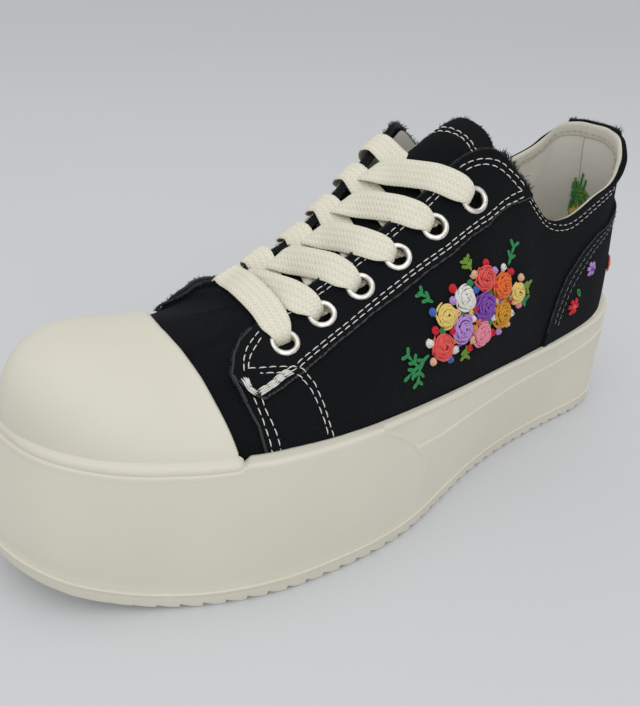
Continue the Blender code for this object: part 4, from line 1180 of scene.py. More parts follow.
def tongue_section(q, half):
    """Points across the tongue under a row of the throat, lateral to medial."""
    depth = along(TONGUE_DEPTH, q)
    dense = np.linspace(0.4, 1, 60)
    rows = []
    for row in (q, -q):
        line = shell(row, dense, depth)
        away = np.abs(x_of(line))
        if not rows:
            wing = half - away[-1]
        start = np.interp(-away[-1] - wing, -away, dense)
        share = np.linspace(start, 1.0, 4)
        rows.append(shell(row, share, depth))
    leads = [unit(r[-1] - r[-2]) for r in rows]
    bridge = crown(rows[0][-1], leads[0], rows[1][-1], leads[1], 3, along(TONGUE_DOME, q))
    return np.concatenate([rows[0], bridge, rows[1][::-1]])


def tongue_grid():
    """The tongue's face, from its front end to its free top and from lateral to medial."""
    front = tongue_section(*TONGUE_FRONT)
    sections = [front + TONGUE_FRONT_STEP, front]
    sections += [tongue_section(q, half) for q, half in TONGUE_SECTIONS]
    last = sections[-1]
    for reach in TONGUE_REACH:
        point = last.copy()
        across = x_of(point)
        cut = 1 - TONGUE_CUT * np.maximum(-TONGUE_CUT_START - across, 0) ** 2
        point += TONGUE_TOP_WAY * (reach * np.maximum(cut, TONGUE_CUT_LEAST))[:, None]
        narrow = np.where(across > 0, TONGUE_TAPER, TONGUE_TAPER_MEDIAL)
        point[:, 0] -= narrow * reach * across
        sections.append(point)
    for k, drop, start in TONGUE_SLUMP:
        sections[k][:, 2] -= drop * smooth_step((start - x_of(sections[k])) / SLUMP_REACH)
    rows = np.stack(sections)
    rows = np.stack([smooth_curve(rows[:, j], 110) for j in range(rows.shape[1])], 1)
    return np.stack([smooth_curve(line, 60) for line in rows], 0)


TONGUE = tongue_grid()


def grid_normals(grid):
    normal = unit(np.cross(np.gradient(grid, axis=1), np.gradient(grid, axis=0)))
    return normal * np.sign(normal[..., 2].mean())


def make_tongue():
    normal = grid_normals(TONGUE)
    columns, rows = TONGUE.shape[:2]
    uv = rimmed(sheet_map(np.arange(columns) * TONGUE_THREADS[0], np.arange(rows) * TONGUE_THREADS[1]))
    drop = np.pad(np.zeros((columns, rows)), 1, constant_values=TONGUE_EDGE_DROP)[..., None]
    piece = add_grid("tongue_face", rimmed(TONGUE) - rimmed(normal) * drop, CANVAS_SOFT, uv)
    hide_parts("tongue")
    under = TONGUE - normal * TONGUE_FACE_THICK
    under[-4:] = under[-5]
    deep = np.pad(np.full((columns, rows), TONGUE_THICK - TONGUE_FACE_THICK), 1)[..., None]
    add_grid("tongue_back", rimmed(under) - rimmed(normal) * deep, LINING, uv)


def make_insole():
    side = np.linspace(0, TOE_ROW, 120)
    edges = []
    for row in (side, RING - side):
        low = shell(row, 0.0, INSOLE_INSET)
        low[:, 2] = along(BED_HEIGHT, s_of(GUIDES[0].at(row))) + GAP + INSOLE_THICK
        edges.append(low)
    v = edged(24, 0.01)[None, :, None]
    grid = edges[0][:, None] + v * (edges[1] - edges[0])[:, None]
    dish = 4 * v[..., 0] * (1 - v[..., 0])
    grid[..., 2] -= INSOLE_DISH * dish
    grid[:, (0, -1), 2] -= INSOLE_THICK - GAP
    piece = add_grid("insole_sheet", grid, FOOTBED, np.stack([x_of(grid), s_of(grid)], -1))
    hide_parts("insole")


# Eyelets and lace

def make_eyelets():
    """Rolled rings turned about each hole, with a short barrel into the canvas."""
    angle = np.arange(EYELET_SIDES) * 2 * np.pi / EYELET_SIDES
    points, faces = [], []
    count = 0
    for centre, axis in ALL_HOLES:
        side = unit(np.cross(axis, [0, 1.0, 0]))
        other = np.cross(axis, side)
        spoke = np.cos(angle)[:, None] * side + np.sin(angle)[:, None] * other
        grid = np.stack([centre + radius * spoke + height * axis for radius, height in EYELET_PROFILE], 1)
        points.append(grid.reshape(-1, 3))
        faces.append(grid_faces(EYELET_SIDES, len(EYELET_PROFILE), True)[:, ::-1] + count)
        count += EYELET_SIDES * len(EYELET_PROFILE)
    piece = add_mesh("eyelet_rings", np.concatenate(points), np.concatenate(faces), [METAL])
    nodes = ["eyelet_%s_%d" % (side, k + 1) for side in ("lateral", "medial") for k in range(len(EYELETS))]
    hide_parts(*nodes)


def lace_rows(rows, flip):
    """Joins positions, face directions and widths into rows of numbers."""
    return [np.concatenate([place, flip * face, [width]]) for place, face, width in rows]


def into_eyelet(side, k, edge_row, lift, flip):
    """Lace positions, face directions and widths from the throat edge down through an eyelet."""
    centre, n = HOLES[side][k]
    over = cloth(side * edge_row, 1.0, STAY_FACE + lift)
    d = centre - over
    d = unit(d - (d @ n) * n)
    face = LACE_RISE if k == 0 else CROSS_FACE[side]
    rows = [(over, unit(skin_normal(side * edge_row, 1.0) + face), LACE_WIDTH)]
    for (back, height, share), turned in zip(EYELET_RUN, (0.15 * face, 0.15 * d, 0.8 * d)):
        rows.append((centre - back * d + height * n, unit(n + turned), share * LACE_WIDTH))
    rows += [(centre - 1.5 * d - 0.9 * n, unit(0.2 * n + d), LACE_NARROW),
             (centre - 1.3 * d - 3.0 * n, unit(d - 0.2 * n), LACE_NARROW),
             (centre - 1.8 * d - 4.6 * n, unit(d - n), LACE_NARROW)]
    if side < 0:
        over = over_throat(edge_row, along(STAY_LIP, edge_row) * 0.8, STAY_FACE + 1.2)
        rows.insert(0, (over, face, LACE_WIDTH))
    return lace_rows(rows, flip), over


def out_of_gap(side, k, row, flip):
    """From under an eyelet to the gap beside the throat edge."""
    q, t = PLACES[k]
    middle = 0.5 * (t + 1.0)
    inner = LINING_DEPTH - 1.0
    if side > 0:
        edge_in = unit(skin(row, 1.0) - skin(row, 0.95))
        leave = shell(row, 1.0, LEAVE_LIFT[-side]) + 1.4 * edge_in
    else:
        leave = over_throat(row, along(STAY_LIP, row) + 3.0, LEAVE_LIFT[-side])
    under = shell(side * (0.6 * q + 0.4 * row), middle, inner)
    rows = [(under, -skin_normal(side * q, middle), LACE_WIDTH * 0.9),
            (shell(side * row, 0.97, inner), -unit(skin_normal(side * row, 0.97) + LACE_RISE), LACE_WIDTH),
            (leave, -LACE_RISE, LACE_WIDTH)]
    return lace_rows(rows, flip), leave


def lace_half(first_side):
    """From the middle of the lowest bar through one eyelet a level to the top."""
    side = first_side
    start = PLACES[0][0]
    flip = 1
    ends = [into_eyelet(sign, 0, start + BAR_LEAN[sign], BAR_MEET_LIFT[sign], flip) for sign in SIDES]
    middle = (ends[0][1] + ends[1][1]) / 2 + LACE_RISE * BAR_LIFT
    rows = lace_rows([(middle, LACE_RISE, LACE_WIDTH)], flip)
    rows += ends[SIDES.index(side)][0]
    for k in range(1, len(PLACES)):
        drop = PLACES[k - 1][0] - PLACES[k][0]
        leave_row = PLACES[k][0] + LEAVE_LEVELS[-side] * drop
        meet_row = PLACES[k][0] + MEET_LEVELS[-side][k] * drop
        leaving, leave = out_of_gap(side, k - 1, leave_row, flip)
        rows += leaving
        flip = -flip
        side = -side
        meeting, meet = into_eyelet(side, k, meet_row, MEET_LIFT[side], flip)
        for share in (0.35, 0.7):
            lift = MIDDLE_LIFT[side] * 4 * share * (1 - share)
            spot = leave + share * (meet - leave) + LACE_RISE * lift
            rows += lace_rows([(spot, CROSS_FACE[side], LACE_WIDTH)], flip)
        rows += meeting
    return rows


def make_lace():
    """One flat lace, laced from the bar at the lowest pair of eyelets up to the top pair."""
    first, second = lace_half(1), lace_half(-1)
    curve = chord_curve(second[:0:-1] + first, LACE_SPACING)
    path, up, width = curve[:, :3], curve[:, 3:6], curve[:, 6]
    tangent = unit(np.gradient(path, axis=0))
    side = unit(np.cross(tangent, up))
    face = unit(np.cross(side, tangent))
    angle = np.arange(LACE_SIDES) * 2 * np.pi / LACE_SIDES
    wide = np.sign(np.cos(angle)) * np.abs(np.cos(angle)) ** 0.55
    thick = np.sign(np.sin(angle)) * np.abs(np.sin(angle)) ** 0.8
    full = LACE_THICK * (1 + 0.5 * (1 - width / LACE_WIDTH))
    across = wide[None, :] * width[:, None] / 2
    grid = (path[:, None] + side[:, None] * across[..., None]
            + face[:, None] * (thick[None, :] * full[:, None] / 2)[..., None])
    uv = np.stack(np.broadcast_arrays(across, travel(path)[:, None]), -1).reshape(-1, 2)
    piece = add_mesh("lace", grid.reshape(-1, 3), tube_faces(len(path), LACE_SIDES), [LACE], uv)
    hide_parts("lace_bar", *["lace_cross_%d" % (k + 1) for k in range(1, len(PLACES))])


# Stitches: lines of (row, share) on the lateral side, used on both sides

FRONT_OUT = [(14.8, 0.843), (15.1, 0.794), (15.32, 0.747), (15.45, 0.691), (15.47, 0.644), (15.47, 0.607)]
FRONT_IN = [(14.8, 0.806), (15.08, 0.749), (15.26, 0.702), (15.34, 0.656), (15.35, 0.614)]
PANEL_A = [(15.3, 0.504), (15.22, 0.45), (15.15, 0.391), (15.11, 0.337), (15.06, 0.27), (15.02, 0.187),
           (15, 0.14)]
PANEL_B = [(15.12, 0.496), (15.06, 0.425), (14.98, 0.361), (14.91, 0.3), (14.86, 0.235), (14.83, 0.169),
           (14.82, 0.13)]
ARC_OUT = [(15.4, 0.639), (14.95, 0.634), (14.45, 0.629), (13.98, 0.606), (13.82, 0.558), (13.74, 0.509),
           (13.71, 0.455), (13.69, 0.393), (13.68, 0.342), (13.67, 0.264), (13.65, 0.203), (13.62, 0.135)]
ARC_IN = [(15.17, 0.607), (14.65, 0.6), (14.3, 0.592), (14.1, 0.573), (13.96, 0.536), (13.88, 0.494),
          (13.84, 0.447), (13.81, 0.386), (13.79, 0.327), (13.77, 0.264), (13.76, 0.205), (13.75, 0.135)]
STAY_ROW_A = [(13.95, 0.622), (13.72, 0.64), (12.99, 0.674), (12.3, 0.698), (11.62, 0.71), (11.08, 0.71),
              (10.38, 0.721), (9.83, 0.745), (9.29, 0.78), (8.73, 0.846), (8.14, 0.957)]
STAY_ROW_B = [(13.95, 0.599), (13.7, 0.616), (12.94, 0.652), (12.25, 0.674), (11.59, 0.687), (11.05, 0.69),
              (10.31, 0.704), (9.6, 0.736), (9.1, 0.774), (8.6, 0.836), (8.04, 0.946)]
TOP_OUT = [(10.29, 0.968), (9.75, 0.962), (9.19, 0.957), (8.71, 0.961), (8.24, 0.982), (8.05, 0.975)]
TOP_IN = [(10.21, 0.941), (9.75, 0.94), (9.25, 0.928), (8.85, 0.921), (8.45, 0.928), (8.22, 0.94)]
COLLAR_UP = [(7.94, 0.975), (7.36, 0.978), (6.53, 0.955), (5.93, 0.934), (5.53, 0.926), (5.13, 0.926),
             (4.5, 0.945), (3.5, 0.962), (2.4, 0.968), (1, 0.968)]
COLLAR_LOW = [(8.01, 0.955), (7.39, 0.95), (6.91, 0.94), (6.43, 0.915), (5.91, 0.894), (5.43, 0.884),
              (4.98, 0.889), (4.2, 0.915), (3.2, 0.935), (1, 0.942)]
COUNTER_A = [(1, 0.672), (2.4, 0.672), (3.6, 0.676), (4.3, 0.672), (4.98, 0.617), (5.46, 0.531),
             (5.76, 0.435), (5.98, 0.302), (6.09, 0.175)]
COUNTER_B = [(1, 0.642), (2.4, 0.642), (3.6, 0.648), (4.15, 0.645), (4.75, 0.59), (5.22, 0.51),
             (5.54, 0.42), (5.78, 0.295), (5.9, 0.18)]
TACK_DOWN = [(15.52, 0.6), (15.44, 0.57), (15.37, 0.541), (15.27, 0.52), (15.17, 0.509)]
TACK_UP = [(15.19, 0.505), (15, 0.525), (14.82, 0.543), (14.42, 0.582), (13.94, 0.601)]
# Pitch, length and radius of the stitches
PLAIN_STITCH = (3.55, 2.85, 0.21)
COLLAR_STITCH = (3.3, 2.5, 0.15)
COUNTER_STITCH = (3.0, 2.3, 0.15)
RIM_STITCH = (3.2, 2.5, 0.2)
TACK_STITCH = (3.3, 3.2, 0.20)
TONGUE_STITCH = (3.4, 2.8, 0.24)
# How far they lie over their cloth, and how a stitch swells and arches along its length
STITCH_LIFT = 0.1
STITCH_SWELL = np.array([0.35, 0.85, 1.0, 1.0, 0.85, 0.35])
STITCH_ARCH = np.array([-0.22, 0.12, 0.22, 0.22, 0.12, -0.22])
STITCH_FLAT = 0.8
STITCH_STRAY = 0.06
# Rows beside the throat: first and last row, distances under the edge
THROAT_ROWS = (10.45, 14.3)
THROAT_DISTANCES = (3.0, 5.0)
# Row on the collar's inner strip: first and last row, distance under the edge, depth
RIM_ROWS = (0.05, 7.8)
RIM_DISTANCE = 3.6
RIM_DEPTH = -1.75
TACK_LAYERS = 14
# Rows across the tongue: steps back from its top, then first and last place across it
TONGUE_ROWS_BACK = (16, 20)
TONGUE_ROW_SPAN = slice(8, 41)


def on_cloth(places, sign, offset, count=160):
    """Positions and normals along a smooth line of (row, share) places."""
    line = smooth_curve(np.array(places), count)
    q, t = sign * line[:, 0], np.clip(line[:, 1], 0, 1)
    return cloth(q, t, offset), skin_normal(q, t)


def along_edge(row, distance, offset):
    """Positions and normals along the opening, a distance under its edge."""
    share = below_edge(row, distance)
    return cloth(row, share, offset), skin_normal(row, share)


def stitch_line(batch, path, normal, kind, sizes=PLAIN_STITCH):
    pitch, length, radius = sizes
    gone = travel(path)
    shape = np.linspace(-0.5, 0.5, len(STITCH_SWELL))
    for start in np.arange(0.3, gone[-1] - length, pitch):
        place = start + length / 2 + shape * length * rng.uniform(0.94, 1.05) + rng.normal(0, STITCH_STRAY)
        dots = np.stack([np.interp(place, gone, path[:, j]) for j in range(3)], 1)
        up = unit(np.stack([np.interp(place, gone, normal[:, j]) for j in range(3)], 1))
        sideways = unit(np.cross(np.gradient(dots, axis=0), up))
        dots = dots + up * STITCH_ARCH[:, None] + sideways * rng.normal(0, STITCH_STRAY)
        batch.tube(dots, radius * STITCH_SWELL, up, 6, kind, STITCH_FLAT)


def make_stitches():
    batch = Batch()
    white, grey, brown = 0, 1, 2
    on_stay, on_quarter = STAY_FACE + STITCH_LIFT, QUARTER_FACE + STITCH_LIFT
    for sign in SIDES:
        for places in (FRONT_OUT, FRONT_IN, STAY_ROW_A, STAY_ROW_B, TOP_OUT, TOP_IN):
            stitch_line(batch, *on_cloth(places, sign, on_stay), white)
        for places in (PANEL_A, PANEL_B):
            stitch_line(batch, *on_cloth(places, sign, on_quarter), white)
        for places in (ARC_OUT, ARC_IN):
            row, share = smooth_curve(np.array(places), 160).T
            face = np.where(share > along(STAY_EDGE, row), on_stay, on_quarter)
            stitch_line(batch, cloth(sign * row, share, face), skin_normal(sign * row, share), white)
        throat = sign * np.linspace(*THROAT_ROWS, 140)
        for distance in THROAT_DISTANCES:
            stitch_line(batch, *along_edge(throat, distance, on_stay), white)
        for places in (COLLAR_UP, COLLAR_LOW):
            stitch_line(batch, *on_cloth(places, sign, on_quarter, 260), white, COLLAR_STITCH)
        for places in (COUNTER_A, COUNTER_B):
            stitch_line(batch, *on_cloth(places, sign, COUNTER_FACE + 0.3, 260), grey, COUNTER_STITCH)
        bar_tack(batch, *on_cloth(TACK_DOWN, sign, on_stay, 80), white)
        bar_tack(batch, *on_cloth(TACK_UP, sign, on_stay, 120), white)
        path, normal = along_edge(sign * np.linspace(*RIM_ROWS, 200), RIM_DISTANCE, RIM_DEPTH)
        stitch_line(batch, path, -normal, brown, RIM_STITCH)
    share = np.linspace(0.95, 0.3, 80)
    row = -0.3 + 0.17 * smooth_step((0.95 - share) / 0.3)
    seam = cloth(row, share, LINING_DEPTH - 0.05)
    batch.tube(seam, 0.22, skin_normal(row, share), 6, brown, 0.6)
    tongue_stitches(batch, white)
    batch.build("stitches", [WHITE_THREAD, GREY_THREAD, BROWN_THREAD])


def bar_tack(batch, path, normal, kind):
    """Several passes of long stitches over the same line, a little apart."""
    across = unit(np.cross(np.gradient(path, axis=0), normal))
    for layer in range(TACK_LAYERS):
        start = rng.uniform(0, 0.12)
        end = rng.uniform(0.86, 1.0)
        rows = np.arange(int(start * len(path)), int(end * len(path)))
        shift = rng.normal(0, 0.65) + np.linspace(rng.normal(0, 0.5), rng.normal(0, 0.4), len(rows))
        line = path[rows] + across[rows] * shift[:, None] + normal[rows] * (0.05 + 0.04 * layer)
        stitch_line(batch, line, normal[rows], kind, TACK_STITCH)


def tongue_stitches(batch, kind):
    """Two short rows across the tongue's top, from its lateral edge."""
    normal = grid_normals(TONGUE)
    for back in TONGUE_ROWS_BACK:
        place = (len(TONGUE) - 1 - back, TONGUE_ROW_SPAN)
        path = TONGUE[place] + normal[place] * STITCH_LIFT
        stitch_line(batch, path, normal[place], kind, TONGUE_STITCH)


# Raw edges, frays and loose threads

FIBRE_TAPER = np.array([1.0, 0.95, 0.85, 0.7, 0.35])
# How far the thread along a cut edge lies under the cloth's face
CORD_DEPTH = 0.25
THROAT_CORD_DEPTH = 0.4
# Ridges of the rolled medial corner: (lift, size, grey or black)
ROLL_RIDGES = [(0.4, 0.7, "black"), (1.0, 0.6, "grey"), (1.6, 0.7, "black"), (2.1, 0.55, "grey")]
# Fibres on top of the heel tab: (part of its edge, count, reach, colour, thickness)
TAB_FRAYS = [(slice(None), 150, 1.5, "black", 0.10), (slice(-12, None), 60, 2.6, "black", 0.10),
             (slice(-6, None), 3, 7.0, "black", 0.09), (slice(10), 40, 2.2, "black", 0.10),
             (slice(34, 60), 30, 1.8, "white", 0.12)]
FRAY_KIND = {"grey": 0, "black": 1, "white": 2}
# Threads along cut edges: size, swing and pace of their unevenness
STAY_CORD = (0.36, 0.10, 0.9)
FRONT_CORD = (0.45, 0.12, 1.1)
QUARTER_CORD = (0.48, 0.14, 1.3)
COUNTER_CORD = (0.22, 0.08, 0.8)
# Fibres at cut edges: (count, reach, colour, thickness)
FRAYS = {
    "stay": [(240, 1.3, "grey", 0.09)],
    "front": [(260, 1.9, "grey", 0.09)],
    "quarter": [(160, 1.2, "grey", 0.09)],
    "throat": [(420, 1.9, "black", 0.12), (90, 1.6, "grey", 0.09)],
    "corner": [(170, 3.6, "black", 0.16), (30, 2.4, "grey", 0.09)],
    "ridge": [(70, 2.0, "black", 0.13)],
    "roll": [(260, 3.0, "black", 0.14)],
    "tongue": [(420, 1.3, "black", 0.12), (60, 1.8, "grey", 0.08)],
    "tab side": [(120, 2.0, "black", 0.10)],
}


def fibres(batch, path, outward, normal, count, reach, colour, thin):
    """Short curled fibres that leave a cut edge."""
    tangent = unit(np.gradient(path, axis=0))
    v = np.linspace(0, 1, len(FIBRE_TAPER))[:, None]
    for _ in range(count):
        i = rng.integers(0, len(path))
        length = reach * rng.uniform(0.35, 1.0) ** 1.3
        lean = tangent[i] * rng.normal(0, 0.55)
        direction = unit(outward[i] + lean + normal[i] * rng.normal(0.12, 0.25))
        curl = normal[i] * rng.normal(0, 0.25) + tangent[i] * rng.normal(0, 0.35)
        line = path[i] - outward[i] * 0.4 + direction * length * v + curl * length * v * v
        batch.tube(line, thin * FIBRE_TAPER, unit(normal[i] + 0.01), 3, FRAY_KIND[colour])


def fray(batch, edge, name):
    for sizes in FRAYS[name]:
        fibres(batch, *edge, *sizes)


def cord(batch, path, normal, sizes):
    """An uneven grey thread along a cut edge."""
    size, swing, pace = sizes
    uneven = size + swing * np.sin(np.arange(len(path)) * pace)
    batch.tube(path, uneven, normal, 6, FRAY_KIND["grey"])


def edge_of_stay(sign, count=400):
    side = np.linspace(7.8, 15.08, count)
    t = along(STAY_EDGE, side) + raw(side, 0.0016, sign)
    q = sign * bent(side, t)
    path = cloth(q, t, STAY_FACE - CORD_DEPTH)
    outward = unit(skin(q, t - 0.02) - skin(q, t))
    return path, outward, skin_normal(q, t)


def front_of_stay(sign, low, high, offset, count=240):
    t = np.linspace(low, high, count)
    q = sign * bent(np.full(count, QUARTER_FRONT[0][1]), t)
    path = cloth(q, t, offset)
    outward = unit(skin(q + sign * 0.05, t) - skin(q, t))
    return path, outward, skin_normal(q, t)


def throat_edge(sign, first, last, count=300):
    q = sign * np.linspace(first, last, count)
    t = np.ones(count)
    path = cloth(q, t, STAY_FACE - THROAT_CORD_DEPTH)
    outward = unit(skin(q, t) - skin(q, t - 0.03))
    return path, outward, skin_normal(q, t)


def tongue_edge():
    normal = grid_normals(TONGUE)
    outward = unit(TONGUE[-1] - TONGUE[-4])
    return smooth_curve(TONGUE[-1], 200), smooth_curve(outward, 200), smooth_curve(normal[-1], 200)


def lip_edge():
    row = np.linspace(9.6, 14.0, 300)
    offset = STAY_FACE - THROAT_CORD_DEPTH
    path = over_throat(row, lip_reach(row), offset)
    outward = unit(path - over_throat(row, lip_reach(row) - 1.0, offset))
    return path, outward, np.broadcast_to(LACE_RISE, path.shape)


def rolled_corner(batch):
    """The medial eyestay's front corner and top, rolled and frayed."""
    step = np.arange(160)
    rise = np.sin(np.linspace(0.1, np.pi - 0.1, 160)) ** 0.5
    fold, outward, normal = front_of_stay(-1, 0.66, 0.99, STAY_FACE - 0.6, 160)
    for lift, size, colour in ROLL_RIDGES:
        path = fold + normal * (lift * rise)[:, None] - outward * 0.5
        rough = size + 0.18 * np.sin(step * (1.3 + 0.2 * lift)) * np.sin(step * 0.37)
        batch.tube(path, rough * rise, normal, 8, FRAY_KIND[colour])
        fray(batch, (path, normal, -outward), "ridge")
    roll, outward, normal = throat_edge(-1, 8.75, 10.2, 120)
    swell = 1.25 * np.sin(np.linspace(0.25, np.pi - 0.3, 120)) ** 0.6
    batch.tube(roll + outward * 0.6, swell, normal, 8, FRAY_KIND["black"])
    fray(batch, (roll + outward * 1.0, outward, normal), "roll")


def make_frays():
    batch = Batch()
    for sign in SIDES:
        low_edge = edge_of_stay(sign)
        front = front_of_stay(sign, 0.48, 0.86, STAY_FACE - CORD_DEPTH)
        quarter = front_of_stay(sign, 0.14, 0.62, QUARTER_FACE - CORD_DEPTH)
        for edge, sizes, name in ((low_edge, STAY_CORD, "stay"), (front, FRONT_CORD, "front"),
                                  (quarter, QUARTER_CORD, "quarter")):
            cord(batch, edge[0], edge[2], sizes)
            fray(batch, edge, name)
        edge = throat_edge(sign, 8.0, 14.5)
        lumps = 0.5 + 0.2 * np.sin(np.arange(300) * 0.7) * np.sin(np.arange(300) * 0.23)
        batch.tube(edge[0] + edge[1] * 0.2, lumps, edge[2], 6, FRAY_KIND["black"])
        fray(batch, edge if sign > 0 else lip_edge(), "throat")
        fray(batch, throat_edge(sign, 7.85, 8.9, 60), "corner")
        row = np.linspace(1.0, COUNTER_END - 0.05, 300)
        top = along(COUNTER_EDGE, row)
        cord(batch, cloth(sign * row, top, COUNTER_FACE + 0.1), skin_normal(sign * row, top), COUNTER_CORD)
    rolled_corner(batch)
    fray(batch, tongue_edge(), "tongue")
    q = np.linspace(-TAB_END, TAB_END, 80)
    up = edge_rise(q)
    path = cloth(q, 1.0, 1.2) + up * 1.3
    for part, *sizes in TAB_FRAYS:
        fibres(batch, path[part], up[part], skin_normal(q[part], 1.0), *sizes)
    for sign in SIDES:
        t = np.linspace(0.72, 0.99, 100)
        row = TAB_END * sign
        outward = unit(skin(row + 0.05 * sign, t) - skin(row, t))
        fray(batch, (cloth(row, t, TAB_FACE - 0.3), outward, skin_normal(row, t)), "tab side")
    batch.build("frays", [RAW_EDGE, BLACK_THREAD, WHITE_THREAD])


# Embroidery: woven roses, knots and chain leaves, laid out for this part

TURN = 6.28


def local_frame(q, t, offset):
    """A place on the cloth with its ways to the right, up and out."""
    normal = skin_normal(q, t)
    up = unit(skin(q, t + 0.01) - skin(q, t - 0.01))
    return cloth(q, t, offset), unit(np.cross(up, normal)), up, normal


def spread(here, x, y, z):
    """Places at distances to the right, up and out from a place on the cloth."""
    centre, right, up, normal = here
    return centre + x[:, None] * right + y[:, None] * up + z[:, None] * normal


def on_quarter(s, z):
    """Row and share of a place on the lateral quarter."""
    return find_on_skin(s, z, 2, 10.4, 0.4)


def rose(batch, place, radius, kind, offset):
    """A woven wheel: rings of five, then three loose arcs that climb towards the middle."""
    here = local_frame(*place, offset)
    rings = int(radius / 0.95) + 1
    wide, tall = rng.uniform(0.9, 1.1, 2)
    turn = rng.uniform(0, TURN)
    swell = np.array([0.45, 0.8, 1, 1.1, 1.12, 1.1, 1, 0.8, 0.45])
    v = np.linspace(0, 1, 9)
    for ring in range(rings):
        share = ring / rings
        r = radius * (1 - 0.92 * share)
        arms = 5 if share < 0.55 else 3
        for arm in range(arms):
            for strand in (-1, 1):
                start = turn + arm * 2 * np.pi / arms + ring * 0.63 + rng.normal(0, 0.08)
                angle = start + v * 2 * np.pi / arms * rng.uniform(1.1, 1.3)
                reach = r * (1.0 - 0.12 * v) + 0.26 * strand + rng.normal(0, 0.24)
                bow = np.sin(np.pi * v) ** 0.7
                lift = 0.1 + 1.6 * (1 - (r / radius) ** 1.5) + 1.0 * bow + rng.normal(0, 0.22)
                path = spread(here, wide * reach * np.cos(angle), tall * reach * np.sin(angle), lift)
                batch.tube(path, 0.40 * swell * rng.uniform(0.8, 1.2), here[3], 6, kind)


def knot(batch, place, radius, kind, offset):
    """A coiled knot."""
    here = local_frame(*place, offset)
    angle = np.linspace(0, 2 * np.pi * 2.6, 34) + rng.uniform(0, TURN)
    v = np.linspace(0, 1, 34)
    reach = radius * (0.72 - 0.55 * v)
    lift = 0.35 + radius * 0.75 * v
    path = spread(here, reach * np.cos(angle), reach * np.sin(angle), lift)
    batch.tube(path, 0.36 * radius * (1.05 - 0.25 * v), here[3], 6, kind)


def chain(batch, place, length, width, direction, kind, offset):
    """One looped stitch, pointed at its start."""
    centre, right, up, normal = local_frame(*place, offset)
    lead = np.cos(direction) * right + np.sin(direction) * up
    side = np.cross(normal, lead)
    v = np.linspace(0, 2 * np.pi, 22)
    ahead = length * (0.5 - 0.5 * np.cos(v))
    apart = width / 2 * np.sin(v) * (0.35 + 0.65 * ahead / length)
    path = centre + ahead[:, None] * lead + apart[:, None] * side + 0.3 * normal
    batch.tube(path, 0.38, normal, 6, kind)


def daisy(batch, place, radius, petal, heart, offset):
    """Small flower: looped petals round a knot."""
    for k in range(6):
        angle = k * np.pi / 3 + rng.uniform(-0.12, 0.12)
        centre, right, up, normal = local_frame(*place, offset)
        for shift in (-0.35, 0.0, 0.35):
            lead = np.cos(angle + shift * 0.5) * right + np.sin(angle + shift * 0.5) * up
            v = np.linspace(0, 1, 6)[:, None]
            line = centre + lead * (0.5 + v * (radius - 0.5)) + normal * (0.3 + 0.35 * np.sin(np.pi * v))
            batch.tube(line, 0.52 * np.array([0.6, 0.9, 1, 1, 0.9, 0.5]), normal, 6, petal)
    knot(batch, place, 1.2, heart, offset + 0.3)


def sprig(batch, start, end, leaf, kind, offset):
    """A stem of chain stitches with paired leaves, between two (s, z) places."""
    steps = max(3, int(np.hypot(end[0] - start[0], end[1] - start[1]) / 2.6))
    lean = np.arctan2(end[1] - start[1], start[0] - end[0])
    places = []
    for share in np.linspace(0, 1, steps + 1):
        spot = np.array(start) + share * (np.array(end) - np.array(start))
        places.append(on_quarter(*spot))
    line = smooth_curve(np.array(places), 4 * steps)
    stem = cloth(line[:, 0], line[:, 1], offset + 0.25)
    batch.tube(stem, 0.36, skin_normal(line[:, 0], line[:, 1]), 6, kind)
    for k, place in enumerate(places):
        for turn in ((-0.8, 0.8) if k % 2 else (0.0,)):
            direction = lean + turn + rng.normal(0, 0.12)
            chain(batch, place, leaf * rng.uniform(0.8, 1.1), 0.95, direction, kind, offset)


